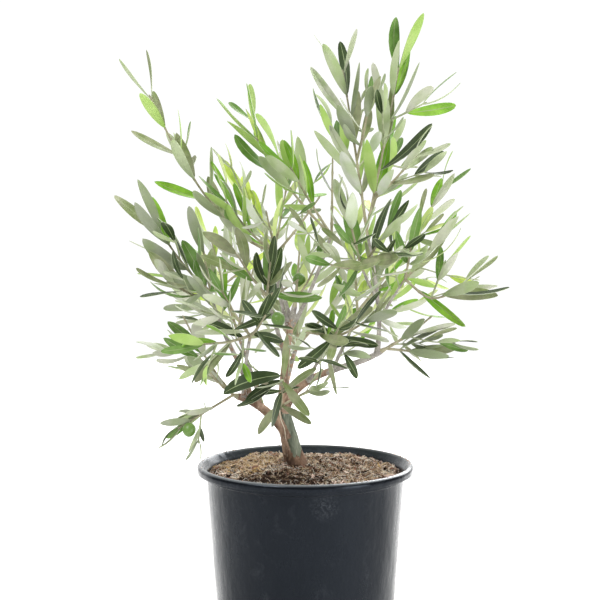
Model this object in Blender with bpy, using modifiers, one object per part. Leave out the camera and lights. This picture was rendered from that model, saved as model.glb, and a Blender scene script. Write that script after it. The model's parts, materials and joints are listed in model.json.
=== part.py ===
"""A potted olive sapling: pot, potting soil, trunk, boughs and masses of foliage.

The origin is the centre of the pot's flat underside, +Z is up, and the side that the
plant shows best faces -Y. The tables give places and sizes in millimetres, and MM
turns them into metres.
"""

import math
import random
from collections import namedtuple

import bmesh
import bpy
import numpy as np
from mathutils import Matrix, Vector
from mathutils.bvhtree import BVHTree
from mathutils.geometry import interpolate_bezier

MM = 0.001
GAP = 0.3 * MM

# Pot: a turned nursery pot with a rolled lip
POT_HEIGHT = 200 * MM
RIM_RADIUS = 110 * MM
BODY_TOP_RADIUS = 100.6 * MM
BASE_RADIUS = 86.8 * MM
POT_WALL = 1.6 * MM
POT_FLOOR = 2.5 * MM
LIP_DROP = 8 * MM
BEAD_DROP = 13 * MM
BEAD_OUT = 2.4 * MM
BEAD_ROUNDING = 1.2 * MM
FOOT_ROUNDING = 1.8 * MM
POT_STEPS = 36
POT_WELD = 0.01 * MM
DRAIN_HOLES = 6
DRAIN_HOLE_RADIUS = 6 * MM
DRAIN_RING_RADIUS = 68 * MM
DRAIN_HOLE_SIDES = 12

# The rolled lip's section: how far in from the rim and how far down from the top
LIP_SECTION = ((5.5, 0.8), (3.6, 0.0), (1.2, 0.9), (0.0, 3.4), (0.3, 7.4), (1.6, 8.0))

# Soil: a low mound that starts just under the rim
SOIL_TOP = 195 * MM
SOIL_EDGE_DROP = 4.5 * MM
SOIL_LEVEL_RADIUS = 28 * MM
SOIL_RINGS = (50 * MM, 72 * MM, 88 * MM)
SOIL_FALL = 1.6

# Limbs: tapering tubes, each on a curve with two handles
LIMB_SPANS = 6
TRUNK_SPANS = 10
BOUGH_FINENESS = 1
TRUNK_FINENESS = 4
LIMB_WELD = 0.01 * MM
SMOOTH_DEGREES = 50
ROOT_FLARE = 3.2 * MM
FLARE_SHARE = 0.13
COLLAR = 0.16
COLLAR_SHARE = 0.10

# Foliage: three-sided twigs with opposite pairs of leaves
NECK = 5 * MM
NECK_OVERLAP = 0.5 * MM
TWIG_RADIUS = 1.45 * MM
TWIG_TIP_RADIUS = 0.8 * MM
SIDE_TWIG_RADIUS = 1.05 * MM
SIDE_TWIG_CHANCE = 0.22
SIDE_TWIG_LEAN = (38, 58)
SIDE_TWIG_REACH = (0.55, 0.90)
SIDE_TWIG_SAG = 2
SIDE_TWIG_PAIRS = (0.5, 1.0)
SIDE_TWIG_LEAF = 0.75
SHOOT_SPAN = 27 * MM
TURN_AT_EACH_PAIR = math.radians(90)
LEAF_WIDTH_SHARE = 0.235
LEAF_THICKNESS_SHARE = 0.015
LEAF_THICKNESS_LEAST = 0.6 * MM
LEAF_FOOT_ACROSS = 0.15 * MM
LEAF_FOOT_BACK = 1.3 * MM
LEAF_SECTIONS = ((0.36, 0.92), (0.70, 0.80))
LEAF_FREE_SHARE = 0.14

# How leaves differ: angles in degrees, lengths as shares of the stem's leaf length
SPREAD_LEFT_AT_TIP = 0.52
SPREAD_JITTER = (-9, 9)
LENGTH_LOST_AT_TIP = 0.14
LENGTH_JITTER = (0.84, 1.10)
TWIST_JITTER = (-32, 32)
ROLL_JITTER = (-16, 16)
LEAF_CURL = (8, 42)

# Each mass keeps to the space nearest its own main stems
SPACE_MARGIN = 1.5 * MM
SPACE_STEP = 5 * MM
SPACE_SAMPLES = ((0.15, 0.95), (0.35, 0.95), (0.55, 0.95), (0.75, 0.95), (0.90, 0.50))
LIMB_CLEARANCE = 1.4 * MM

OLIVE_LENGTH = 15 * MM
OLIVE_WIDTH = 13.4 * MM
OLIVE_STALK = 10.5 * MM
OLIVE_STALK_RADIUS = 0.9 * MM

Limb = namedtuple("Limb", "name parent at leave arrive tip radii")

LIMBS = [
    Limb("bough_left", "trunk", 0.50, (-12, -4, 18), (-22, -4, 6), (-68, -12, 271), (6.5, 4.2)),
    Limb("bough_centre", "trunk", 0.95, (0, 0, 30), (7, 2, 34), (-11, 10, 360), (5.4, 3.3)),
    Limb("bough_right", "trunk", 0.88, (17, -13, 50), (29, -5, 22), (76, -25, 319), (5.0, 3.1)),
    Limb("bough_back", "trunk", 0.92, (0, 16, 14), (6, 22, 16), (-10, 75, 307), (4.2, 2.6)),
    Limb("bough_left_riser", "bough_left", 0.80, (0, -14, 28), (-6, 3, 34), (-93, -18, 372),
         (3.2, 2.0)),
    Limb("bough_left_back", "bough_left", 0.60, (-3, 18, 14), (-9, 26, 22), (-70, 70, 323),
         (3.0, 2.0)),
    Limb("bough_left_front", "bough_left", 0.91, (1, -22, 14), (6, -18, 30), (-54, -80, 337),
         (2.8, 1.9)),
    Limb("bough_centre_front", "bough_centre", 0.50, (-4, -22, 18), (-8, -16, 30),
         (-37, -45, 372), (3.0, 2.0)),
    Limb("bough_upper_left", "bough_centre", 0.75, (-8, 0, 26), (0, 0, 26), (-29, 10, 409),
         (2.9, 1.9)),
    Limb("bough_crown", "bough_centre", 0.80, (14, -3, 16), (9, 5, 24), (25, 18, 427),
         (2.8, 1.8)),
    Limb("bough_leader", "bough_right", 0.95, (6, 2, 34), (-8, 4, 40), (62, -8, 434),
         (2.7, 1.9)),
    Limb("bough_leader_front", "bough_leader", 0.45, (-2, -16, 8), (-8, -12, 20),
         (56, -58, 402), (1.95, 1.6)),
    Limb("bough_back_upper", "bough_centre", 0.85, (-4, 14, 12), (-6, 8, 26),
         (-32, 52, 404), (2.6, 1.9)),
    Limb("bough_right_mid", "bough_leader", 0.28, (7, 4, 13), (9, 4, 13), (97, -8, 385),
         (1.9, 1.5)),
    Limb("bough_front_right", "bough_right", 0.33, (3, -16, 14), (8, -14, 16), (24, -55, 332),
         (2.4, 1.7)),
    Limb("bough_back_right", "bough_right", 0.55, (4, 20, 10), (7, 18, 20), (53, 55, 346),
         (2.5, 1.8)),
]

TRUNK = Limb("trunk", None, None, (-6, 0, 26), (-4, -1, 22), (-24, 6, 260), (10.2, 6.6))
TRUNK_FOOT = (-8, 10, 190)

Shoot = namedtuple("Shoot", "on at tip sag gap leaf roll bare spread")


def shoot(tip, sag=2, gap=18, leaf=54, roll=0, bare=0.15, on=None, at=0.0, spread=54):
    """One main shoot: it starts at the mass's neck, or on an earlier shoot of the mass.

    Its pairs of leaves are a gap apart, from the end of its bare share to its tip.
    """
    return Shoot(on, at, tip, sag, gap, leaf, roll, bare, spread)


Mass = namedtuple("Mass", "name limb shoots")

MASSES = [
    Mass("foliage_left_low", "bough_left", [
        shoot((-126, -20, 241), sag=0, gap=15, leaf=38, bare=0.4),
        shoot((-120, -35, 353), sag=6, leaf=58, roll=60, bare=0.2),
        shoot((-104, -62, 318), sag=4, leaf=50, roll=20, bare=0.3),
    ]),
    Mass("foliage_left", "bough_left_riser", [
        shoot((-143, -30, 438), sag=5, gap=14, leaf=66, roll=15, bare=0.1),
        shoot((-104, -12, 432), gap=15, leaf=52, roll=25, bare=0.2),
        shoot((-62, -38, 402), gap=15, leaf=50, roll=45, bare=0.35),
        shoot((-128, -55, 388), sag=6, gap=14, leaf=56, roll=20, bare=0.25),
    ]),
    Mass("foliage_left_back", "bough_left_back", [
        shoot((-100, 112, 420), leaf=54, roll=30),
        shoot((-124, 125, 354), leaf=52, roll=80),
        shoot((-54, 122, 395), leaf=52, roll=10),
    ]),
    Mass("foliage_left_front", "bough_left_front", [
        shoot((-78, -128, 388), leaf=52, roll=0),
        shoot((-38, -135, 366), leaf=50, roll=70),
        shoot((-96, -122, 338), leaf=50, roll=40),
    ]),
    Mass("foliage_front", "bough_centre_front", [
        shoot((-34, -78, 410), gap=14, leaf=52, roll=20, bare=0.05),
        shoot((-66, -84, 420), leaf=52, roll=60, bare=0.1),
        shoot((-8, -100, 396), leaf=50, roll=0, bare=0.2),
    ]),
    Mass("foliage_left_leader", "bough_upper_left", [
        shoot((-154, -5, 570), sag=31, gap=23, leaf=54, roll=10, bare=0.2),
        shoot((-39, 0, 455), gap=14, leaf=52, roll=20, bare=0.2),
        shoot((-78, -30, 468), sag=6, gap=16, leaf=52, roll=20, bare=0.3),
        shoot((14, 44, 468), leaf=42, roll=60, bare=0.4),
    ]),
    Mass("foliage_upper", "bough_crown", [
        shoot((-49, 8, 529), sag=7, gap=17, leaf=68, roll=10, bare=0.12),
        shoot((28, 45, 512), leaf=54, roll=25),
        shoot((-14, -30, 500), gap=16, leaf=54, roll=20, bare=0.3),
    ]),
    Mass("foliage_centre", "bough_centre", [
        shoot((-5, 88, 424), leaf=50, roll=0, bare=0.2),
        shoot((13, 50, 402), leaf=46, roll=60, bare=0.4),
    ]),
    Mass("foliage_back_upper", "bough_back_upper", [
        shoot((-66, 112, 474), leaf=52, roll=0),
        shoot((-18, 128, 486), leaf=52, roll=40),
        shoot((-44, 150, 434), leaf=50, roll=80),
    ]),
    Mass("foliage_leaders", "bough_leader", [
        shoot((37, -15, 594), sag=-4, gap=23, leaf=64, roll=20, bare=0.06, spread=54),
        shoot((63, -35, 566), gap=15, leaf=44, roll=15, bare=0.3, on=0, at=0.42),
        shoot((92, -5, 597), sag=4, gap=23, leaf=68, roll=15, bare=0.1, spread=54),
        shoot((108, -24, 512), gap=16, leaf=50, roll=15, bare=0.15, on=2, at=0.2),
        shoot((26, 44, 540), gap=21, leaf=56, roll=30, on=0, at=0.2),
        shoot((88, 66, 520), gap=21, leaf=54, roll=60, on=2, at=0.05),
    ]),
    Mass("foliage_leader_front", "bough_leader_front", [
        shoot((40, -98, 462), leaf=56, roll=0),
        shoot((78, -92, 446), leaf=54, roll=40),
        shoot((24, -112, 412), leaf=52, roll=80),
    ]),
    Mass("foliage_right", "bough_right_mid", [
        shoot((134, -15, 432), gap=14, leaf=54, roll=10, bare=0.2),
        shoot((148, -32, 378), sag=12, gap=13, leaf=66, roll=5, bare=0.3),
        shoot((104, -48, 430), gap=15, leaf=56, roll=20, bare=0.2),
    ]),
    Mass("foliage_right_low", "bough_right", [
        shoot((123, -40, 354), gap=12, leaf=54, roll=20, bare=0.15),
        shoot((112, -34, 319), gap=11, leaf=46, roll=5, bare=0.45, spread=44),
    ]),
    Mass("foliage_front_right", "bough_front_right", [
        shoot((31, -100, 350), gap=12, leaf=54, roll=5, bare=0.25, spread=84),
        shoot((66, -92, 362), gap=14, leaf=52, roll=20, bare=0.2),
        shoot((2, -98, 346), gap=13, leaf=48, roll=20, bare=0.3, on=0, at=0.4, spread=66),
    ]),
    Mass("foliage_back_right", "bough_back_right", [
        shoot((146, 100, 476), sag=6, gap=22, leaf=48, roll=0, bare=0.2),
        shoot((52, 125, 428), leaf=54, roll=30),
        shoot((100, 130, 390), leaf=54, roll=60),
        shoot((110, 80, 350), leaf=50, roll=10, bare=0.3),
    ]),
    Mass("foliage_back", "bough_back", [
        shoot((0, 152, 395), leaf=54, roll=0),
        shoot((-46, 150, 358), leaf=52, roll=45),
        shoot((38, 146, 358), leaf=52, roll=70),
    ]),
    Mass("foliage_sprout", "trunk", [
        shoot((-22, -46, 298), gap=9, leaf=58, roll=5, bare=0.55, spread=88),
        shoot((-46, -50, 290), sag=-3, gap=9, leaf=46, roll=10, bare=0.4, on=0, at=0.75),
        shoot((2, -27, 279), gap=12, leaf=40, roll=20, bare=0.6, spread=70),
    ]),
]

# The sprout's neck leaves the trunk's front just below the fork
SPROUT_AT = 0.93
SPROUT_WAY = (-0.12, -0.9, 0.35)

Olive = namedtuple("Olive", "mass shoot at hang")

OLIVES = [
    Olive("foliage_left_low", 0, 0.80, (0.1, -0.1, -1.0)),
    Olive("foliage_centre", 1, 0.45, (-0.2, -0.3, -1.0)),
    Olive("foliage_front", 0, 0.10, (0.5, -0.3, -1.0)),
]

# Colours as red, green and blue shares, then roughness
FINISHES = {
    "pot_plastic": ((0.022, 0.024, 0.028), 0.42),
    "soil_peat": ((0.110, 0.062, 0.034), 0.95),
    "olive_bark": ((0.170, 0.105, 0.070), 0.85),
    "olive_leaf": ((0.115, 0.215, 0.055), 0.55),
}


def metres(point):
    return Vector(point) * MM


def remove_objects():
    for item in list(bpy.data.objects):
        bpy.data.objects.remove(item, do_unlink=True)


def make_collection(name):
    collection = bpy.data.collections.new(name)
    bpy.context.scene.collection.children.link(collection)
    return collection


def make_material(name):
    colour, roughness = FINISHES[name]
    material = bpy.data.materials.new(name)
    material.use_nodes = True
    shader = material.node_tree.nodes["Principled BSDF"]
    shader.inputs["Base Color"].default_value = (*colour, 1)
    shader.inputs["Roughness"].default_value = roughness
    shader.inputs["Metallic"].default_value = 0
    return material


def add_object(name, mesh, collection, material=None):
    item = bpy.data.objects.new(name, mesh)
    collection.objects.link(item)
    if material:
        mesh.materials.append(material)
    return item


def mesh_of(work, name):
    """Turns a bmesh into a mesh whose faces point out."""
    bmesh.ops.recalc_face_normals(work, faces=work.faces)
    mesh = bpy.data.meshes.new(name)
    work.to_mesh(mesh)
    work.free()
    return mesh


def shade(mesh, sharp_degrees):
    mesh.shade_smooth()
    mesh.set_sharp_from_angle(angle=math.radians(sharp_degrees))


def boolean(item, operation, other, solver="EXACT"):
    """Adds a Boolean with an object or a whole collection."""
    cut = item.modifiers.new(operation.title(), "BOOLEAN")
    cut.operation = operation
    cut.solver = solver
    if isinstance(other, bpy.types.Collection):
        cut.operand_type = "COLLECTION"
        cut.collection = other
    else:
        cut.object = other


def as_guide(item):
    """Marks an object that only cuts others."""
    item.hide_render = True
    item.display_type = "WIRE"


def turned(name, profile, collection, material):
    """A solid turned round the Z axis from a profile of (radius, height) points."""
    mesh = bpy.data.meshes.new(name)
    edges = [(i, i + 1) for i in range(len(profile) - 1)]
    mesh.from_pydata([(radius, 0, height) for radius, height in profile], edges, [])
    item = add_object(name, mesh, collection, material)
    screw = item.modifiers.new("Turn", "SCREW")
    screw.steps = POT_STEPS
    screw.render_steps = POT_STEPS
    screw.use_merge_vertices = True
    screw.merge_threshold = POT_WELD
    screw.use_smooth_shade = True
    return item


def wall_radius(height):
    """The pot's outer radius below the lip."""
    share = height / (POT_HEIGHT - LIP_DROP)
    return BASE_RADIUS + (BODY_TOP_RADIUS - BASE_RADIUS) * share


def build_pot(collection, cutters, material):
    lip_foot = POT_HEIGHT - LIP_DROP
    bead_foot = POT_HEIGHT - BEAD_DROP
    inside = [
        (0, POT_FLOOR),
        (wall_radius(POT_FLOOR) - POT_WALL, POT_FLOOR),
        (BODY_TOP_RADIUS - POT_WALL, lip_foot),
    ]
    lip = [(RIM_RADIUS - inward * MM, POT_HEIGHT - down * MM) for inward, down in LIP_SECTION]
    outside = [
        (wall_radius(lip_foot) + BEAD_OUT, lip_foot),
        (wall_radius(bead_foot) + BEAD_OUT, bead_foot + BEAD_ROUNDING),
        (wall_radius(bead_foot), bead_foot),
        (wall_radius(FOOT_ROUNDING), FOOT_ROUNDING),
        (BASE_RADIUS - FOOT_ROUNDING, 0),
        (0, 0),
    ]
    profile = inside + lip + outside
    pot = turned("pot", profile, collection, material)
    work = bmesh.new()
    for number in range(DRAIN_HOLES):
        angle = math.tau * number / DRAIN_HOLES
        centre = DRAIN_RING_RADIUS * Vector((math.cos(angle), math.sin(angle), 0))
        bmesh.ops.create_cone(
            work, cap_ends=True, segments=DRAIN_HOLE_SIDES, depth=4 * POT_FLOOR,
            radius1=DRAIN_HOLE_RADIUS, radius2=DRAIN_HOLE_RADIUS,
            matrix=Matrix.Translation(centre),
        )
    holes = add_object("drain_hole_cutter", mesh_of(work, "drain_holes"), cutters)
    as_guide(holes)
    boolean(pot, "DIFFERENCE", holes)


def soil_height(radius):
    """The soil's top: level round the trunk, then falling in a soft curve to the wall."""
    reach = wall_radius(SOIL_TOP) - POT_WALL
    share = max(0.0, (radius - SOIL_LEVEL_RADIUS) / (reach - SOIL_LEVEL_RADIUS))
    return SOIL_TOP - SOIL_EDGE_DROP * share ** SOIL_FALL


def build_soil(collection, material):
    """The soil fills the pot to just under the lip, 0.3 mm clear of its wall."""
    foot = POT_FLOOR + GAP
    edge_height = soil_height(BODY_TOP_RADIUS)
    edge = wall_radius(edge_height) - POT_WALL - GAP
    profile = [(0, SOIL_TOP), (SOIL_LEVEL_RADIUS, SOIL_TOP)]
    profile += [(radius, soil_height(radius)) for radius in SOIL_RINGS]
    profile += [(edge, edge_height), (wall_radius(foot) - POT_WALL - GAP, foot), (0, foot)]
    return turned("potting_soil", profile, collection, material)


def limb_radius(limb, share):
    """The limb's taper, with a collar or a root flare at its foot."""
    first, last = limb.radii
    radius = (first + (last - first) * share) * MM
    if limb.parent is None:
        return radius + ROOT_FLARE * math.exp(-share / FLARE_SHARE)
    return radius * (1 + COLLAR * math.exp(-share / COLLAR_SHARE))


def limb_radii(limb, path, more=0.0):
    """The limb's radius at each point of its path."""
    last = len(path) - 1
    return [limb_radius(limb, index / last) + more for index in range(last + 1)]


def fineness_of(limb):
    return TRUNK_FINENESS if limb.parent is None else BOUGH_FINENESS


def limb_path(limb, paths):
    """Points along the limb's centre line, from its foot to its tip."""
    tip = metres(limb.tip)
    if limb.parent is None:
        foot = metres(TRUNK_FOOT)
        spans = TRUNK_SPANS
    else:
        foot = point_on(paths[limb.parent], limb.at)
        spans = LIMB_SPANS
    first_handle = foot + metres(limb.leave)
    last_handle = tip - metres(limb.arrive)
    return interpolate_bezier(foot, first_handle, last_handle, tip, spans + 1)


def point_on(path, share):
    """The point at a share of the path's spans."""
    place = min(max(share, 0.0), 1.0) * (len(path) - 1)
    index = min(int(place), len(path) - 2)
    return path[index].lerp(path[index + 1], place - index)


def way_on(path, share):
    """The direction of the path at a share of its spans."""
    place = min(max(share, 0.0), 1.0) * (len(path) - 1)
    index = min(int(place), len(path) - 2)
    return (path[index + 1] - path[index]).normalized()


def tube_from_curve(name, path, radii, fineness):
    """A round limb: a curve with a bevel and filled caps, then made a closed mesh."""
    curve = bpy.data.curves.new(name, "CURVE")
    curve.dimensions = "3D"
    curve.bevel_depth = MM
    curve.bevel_resolution = fineness
    curve.use_fill_caps = True
    spline = curve.splines.new("POLY")
    spline.points.add(len(path) - 1)
    for place, point, radius in zip(spline.points, path, radii):
        place.co = (*point, 1)
        place.radius = radius / MM
    guide = bpy.data.objects.new(name, curve)
    bpy.context.scene.collection.objects.link(guide)
    depsgraph = bpy.context.evaluated_depsgraph_get()
    mesh = bpy.data.meshes.new_from_object(guide.evaluated_get(depsgraph))
    bpy.data.objects.remove(guide, do_unlink=True)
    bpy.data.curves.remove(curve)
    work = bmesh.new()
    work.from_mesh(mesh)
    bmesh.ops.remove_doubles(work, verts=work.verts, dist=LIMB_WELD)
    bpy.data.meshes.remove(mesh)
    return work


def surface_tree(mesh):
    return BVHTree.FromPolygons(
        [vertex.co for vertex in mesh.vertices],
        [tuple(face.vertices) for face in mesh.polygons],
    )


def cut_at_ground(work, height):
    """Cuts the trunk's foot flat and closes the cut."""
    cut = bmesh.ops.bisect_plane(
        work, geom=work.verts[:] + work.edges[:] + work.faces[:],
        plane_co=(0, 0, height), plane_no=(0, 0, 1), clear_inner=True,
    )
    edges = [part for part in cut["geom_cut"] if isinstance(part, bmesh.types.BMEdge)]
    bmesh.ops.holes_fill(work, edges=edges, sides=0)


def build_limbs(collection, cutters, material):
    """The trunk and the boughs, each cut 0.3 mm clear of the limbs made before it."""
    paths = {}
    earlier = []
    for limb in [TRUNK, *LIMBS]:
        path = limb_path(limb, paths)
        paths[limb.name] = path
        radii = limb_radii(limb, path)
        work = tube_from_curve(limb.name, path, radii, fineness_of(limb))
        if limb.parent is None:
            cut_at_ground(work, SOIL_TOP + GAP)
        item = add_object(limb.name, mesh_of(work, limb.name), collection, material)
        shade(item.data, SMOOTH_DEGREES)
        tree = surface_tree(item.data)
        for guide, guide_tree in earlier:
            if tree.overlap(guide_tree):
                boolean(item, "DIFFERENCE", guide)
        earlier.append(clearance_guide(limb, path, radii, cutters))
    return paths


def clearance_guide(limb, path, radii, cutters):
    """The limb's own shape, 0.3 mm larger all over, that later limbs are cut with."""
    before = path[0] - way_on(path, 0.0) * GAP
    after = path[-1] + way_on(path, 1.0) * GAP
    route = [before, *path[1:-1], after]
    grown = [radius + GAP for radius in radii]
    name = limb.name + "_cutter"
    work = tube_from_curve(name, route, grown, fineness_of(limb))
    guide = add_object(name, mesh_of(work, name), cutters)
    as_guide(guide)
    return guide, surface_tree(guide.data)


def twig_mesh(name, path, radii):
    """A three-sided twig: one ring of points at each place on the path."""
    work = bmesh.new()
    across = way_on(path, 0.0).orthogonal()
    rings = []
    for index, (point, radius) in enumerate(zip(path, radii)):
        before = path[max(index - 1, 0)]
        after = path[min(index + 1, len(path) - 1)]
        way = (after - before).normalized()
        across = (across - way * across.dot(way)).normalized()
        other = way.cross(across)
        ring = []
        for corner in range(3):
            angle = math.tau * corner / 3
            ring.append(work.verts.new(
                point + radius * (math.cos(angle) * across + math.sin(angle) * other)
            ))
        rings.append(ring)
    for ring, following in zip(rings, rings[1:]):
        for corner in range(3):
            onward = (corner + 1) % 3
            work.faces.new((ring[corner], ring[onward], following[onward], following[corner]))
    work.faces.new(rings[0][::-1])
    work.faces.new(rings[-1])
    return mesh_of(work, name)


Leaf = namedtuple("Leaf", "root way face length width curl")


def blade_point(leaf, share, across_share=0.0, depth=0.0):
    """A point of the blade, whose midrib is an arc that bends towards its upper face."""
    turn = leaf.curl * share
    along = math.sin(turn) / leaf.curl * leaf.length
    lift = (1 - math.cos(turn)) / leaf.curl * leaf.length
    upward = leaf.face * math.cos(turn) - leaf.way * math.sin(turn)
    across = leaf.way.cross(leaf.face)
    middle = leaf.root + leaf.way * along + leaf.face * lift
    return middle + across * across_share * leaf.width / 2 - upward * depth


def leaf_mesh(name, leaf):
    """A slim leaf of 12 faces: six corners round its outline and a rib below."""
    work = bmesh.new()
    thickness = max(leaf.length * LEAF_THICKNESS_SHARE, LEAF_THICKNESS_LEAST)
    (low, low_share), (high, high_share) = LEAF_SECTIONS
    foot = work.verts.new(blade_point(leaf, 0.0))
    low_left = work.verts.new(blade_point(leaf, low, -low_share))
    low_right = work.verts.new(blade_point(leaf, low, low_share))
    low_rib = work.verts.new(blade_point(leaf, low, 0.0, thickness))
    high_left = work.verts.new(blade_point(leaf, high, -high_share))
    high_right = work.verts.new(blade_point(leaf, high, high_share))
    high_rib = work.verts.new(blade_point(leaf, high, 0.0, thickness))
    tip = work.verts.new(blade_point(leaf, 1.0))
    upper = [(foot, low_right, low_left), (low_left, low_right, high_right, high_left),
             (high_left, high_right, tip)]
    lower = [(foot, low_left, low_rib), (low_left, high_left, high_rib, low_rib),
             (high_left, tip, high_rib), (tip, high_right, high_rib),
             (high_right, low_right, low_rib, high_rib), (low_right, foot, low_rib)]
    for corners in upper + lower:
        work.faces.new(corners)
    bmesh.ops.triangulate(work, faces=work.faces)
    return mesh_of(work, name)


def tapered(first, last, count):
    """A list of radii that fall evenly from the first to the last."""
    return [first + (last - first) * index / (count - 1) for index in range(count)]


def length_of(path):
    return sum((after - before).length for before, after in zip(path, path[1:]))


def shoot_path(start, tip, sag):
    """A shoot leaves low and turns up: it hangs below the straight line by its sag."""
    middle = (start + tip) / 2 - Vector((0, 0, 2 * sag * MM))
    spans = max(1, round((tip - start).length / SHOOT_SPAN))
    path = []
    for index in range(spans + 1):
        share = index / spans
        path.append((1 - share) ** 2 * start + 2 * share * (1 - share) * middle
                    + share ** 2 * tip)
    return path


Stem = namedtuple("Stem", "path radii shares leaf roll spread")


def main_stems(mass, neck_end):
    """The mass's main shoots as stems, in the order of the table."""
    stems = []
    for item in mass.shoots:
        start = neck_end if item.on is None else point_on(stems[item.on].path, item.at)
        path = shoot_path(start, metres(item.tip), item.sag)
        radii = tapered(TWIG_RADIUS, TWIG_TIP_RADIUS, len(path))
        shares = pair_shares(length_of(path), item.gap * MM, item.bare)
        stems.append(Stem(path, radii, shares, item.leaf * MM, math.radians(item.roll),
                          math.radians(item.spread)))
    return stems


def outward(way, roll):
    """The direction that points away from a stem at a roll round it; 0 is to the side."""
    depth = Vector((0, 1, 0))
    depth = (depth - way * depth.dot(way)).normalized()
    side = way.cross(depth)
    return side * math.cos(roll) + depth * math.sin(roll)


def pair_shares(length, gap, bare):
    """Where a stem's pairs of leaves sit, a gap apart, the last pair at its tip."""
    steps = max(1, round(length * (1 - bare) / gap))
    return [bare + (1 - bare) * number / steps for number in range(steps + 1)]


def pair_roll(stem, number):
    """The roll of a pair of leaves: the tip's own roll, then a quarter turn at each pair."""
    return stem.roll + (len(stem.shares) - 1 - number) * TURN_AT_EACH_PAIR


def side_twigs(stems, rng):
    """Short twigs in the axils of some pairs, by a seeded rule."""
    twigs = []
    for stem in stems:
        for number, share in enumerate(stem.shares[:-1]):
            chance = rng.random()
            lean = math.radians(rng.uniform(*SIDE_TWIG_LEAN))
            reach = stem.leaf * rng.uniform(*SIDE_TWIG_REACH)
            side = rng.choice((0.0, math.pi))
            if chance > SIDE_TWIG_CHANCE:
                continue
            way = way_on(stem.path, share)
            away = outward(way, pair_roll(stem, number) + side)
            start = point_on(stem.path, share)
            tip = start + (way * math.cos(lean) + away * math.sin(lean)) * reach
            path = shoot_path(start, tip, SIDE_TWIG_SAG)
            radii = tapered(SIDE_TWIG_RADIUS, TWIG_TIP_RADIUS, len(path))
            twigs.append(Stem(path, radii, SIDE_TWIG_PAIRS, stem.leaf * SIDE_TWIG_LEAF,
                              stem.roll, stem.spread))
    return twigs


def leaves_of(stem, rng):
    """Opposite pairs of leaves, each pair turned a quarter from the one below it."""
    leaves = []
    for number, share in enumerate(stem.shares):
        root = point_on(stem.path, share)
        way = way_on(stem.path, share)
        along = number / (len(stem.shares) - 1)
        roll = pair_roll(stem, number) + math.radians(rng.uniform(*ROLL_JITTER))
        open_share = 1 - (1 - SPREAD_LEFT_AT_TIP) * along
        full_length = stem.leaf * (1 - LENGTH_LOST_AT_TIP * along ** 3)
        for side in (0.0, math.pi):
            spread = stem.spread * open_share + math.radians(rng.uniform(*SPREAD_JITTER))
            length = full_length * rng.uniform(*LENGTH_JITTER)
            twist = math.radians(rng.uniform(*TWIST_JITTER))
            curl = math.radians(rng.uniform(*LEAF_CURL))
            away = outward(way, roll + side)
            blade = (way * math.cos(spread) + away * math.sin(spread)).normalized()
            face = (way - blade * way.dot(blade)).normalized()
            face = face * math.cos(twist) + blade.cross(face) * math.sin(twist)
            foot = root - away * LEAF_FOOT_ACROSS - way * LEAF_FOOT_BACK
            leaves.append(Leaf(foot, blade, face, length, length * LEAF_WIDTH_SHARE, curl))
    return leaves


def blade_strip(leaf):
    """The free part of a blade as a flat strip, to tell what it would cross."""
    (low, low_share), (high, high_share) = LEAF_SECTIONS
    points = [
        blade_point(leaf, LEAF_FREE_SHARE),
        blade_point(leaf, low, -low_share),
        blade_point(leaf, low, low_share),
        blade_point(leaf, high, -high_share),
        blade_point(leaf, high, high_share),
        blade_point(leaf, 1.0),
    ]
    return BVHTree.FromPolygons(points, [(0, 1, 2), (1, 3, 4, 2), (3, 5, 4)])


def blade_samples(leaf):
    """Points over a leaf that tell whether it stays in its mass's space."""
    points = [blade_point(leaf, 1.0)]
    for share, width in SPACE_SAMPLES:
        points += [blade_point(leaf, share, across) for across in (-width, 0.0, width)]
    return points


def own_space(masses_stems, own):
    """A test of whether points lie nearer the mass's own main stems than any other's."""
    own_points = []
    other_points = []
    for name, stems in masses_stems.items():
        for stem in stems:
            count = math.ceil(length_of(stem.path) / SPACE_STEP)
            samples = [point_on(stem.path, index / count) for index in range(count + 1)]
            (own_points if name == own else other_points).extend(samples)
    own_array = np.array(own_points)
    other_array = np.array(other_points)

    def holds(points):
        array = np.array(points)
        near_own = np.linalg.norm(array[:, None] - own_array[None], axis=2).min(axis=1)
        near_other = np.linalg.norm(array[:, None] - other_array[None], axis=2).min(axis=1)
        return bool((near_own + SPACE_MARGIN < near_other).all())

    return holds


def olive_mesh(name, centre, hang):
    work = bmesh.new()
    bmesh.ops.create_icosphere(work, subdivisions=2, radius=0.5)
    turn = Vector((0, 0, -1)).rotation_difference(hang).to_matrix().to_4x4()
    size = Matrix.Diagonal((OLIVE_WIDTH, OLIVE_WIDTH, OLIVE_LENGTH, 1))
    bmesh.ops.transform(work, matrix=Matrix.Translation(centre) @ turn @ size, verts=work.verts)
    return mesh_of(work, name)


def add_olive(olive, stem, pieces):
    """An olive that hangs by its stalk from a place on a stem."""
    root = point_on(stem.path, olive.at)
    hang = Vector(olive.hang).normalized()
    centre = root + hang * OLIVE_STALK
    stalk_radii = [OLIVE_STALK_RADIUS, OLIVE_STALK_RADIUS]
    add_object("olive", olive_mesh("olive", centre, hang), pieces)
    add_object("olive_stalk", twig_mesh("olive_stalk", [root, centre], stalk_radii), pieces)


def neck_of(mass, paths):
    """The mass's root: it meets its bough's tip, or the trunk's front, 0.3 mm clear."""
    path = paths[mass.limb]
    if mass.limb == "trunk":
        way = Vector(SPROUT_WAY).normalized()
        lean = way.angle(way_on(path, SPROUT_AT))
        inside = limb_radius(TRUNK, SPROUT_AT) + TWIG_RADIUS * math.cos(lean)
        start = point_on(path, SPROUT_AT) + way * (inside / math.sin(lean) + GAP)
        return start, way, TWIG_RADIUS
    limb = next(item for item in LIMBS if item.name == mass.limb)
    way = way_on(path, 1.0)
    return path[-1] + way * GAP, way, limb.radii[1] * MM


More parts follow.
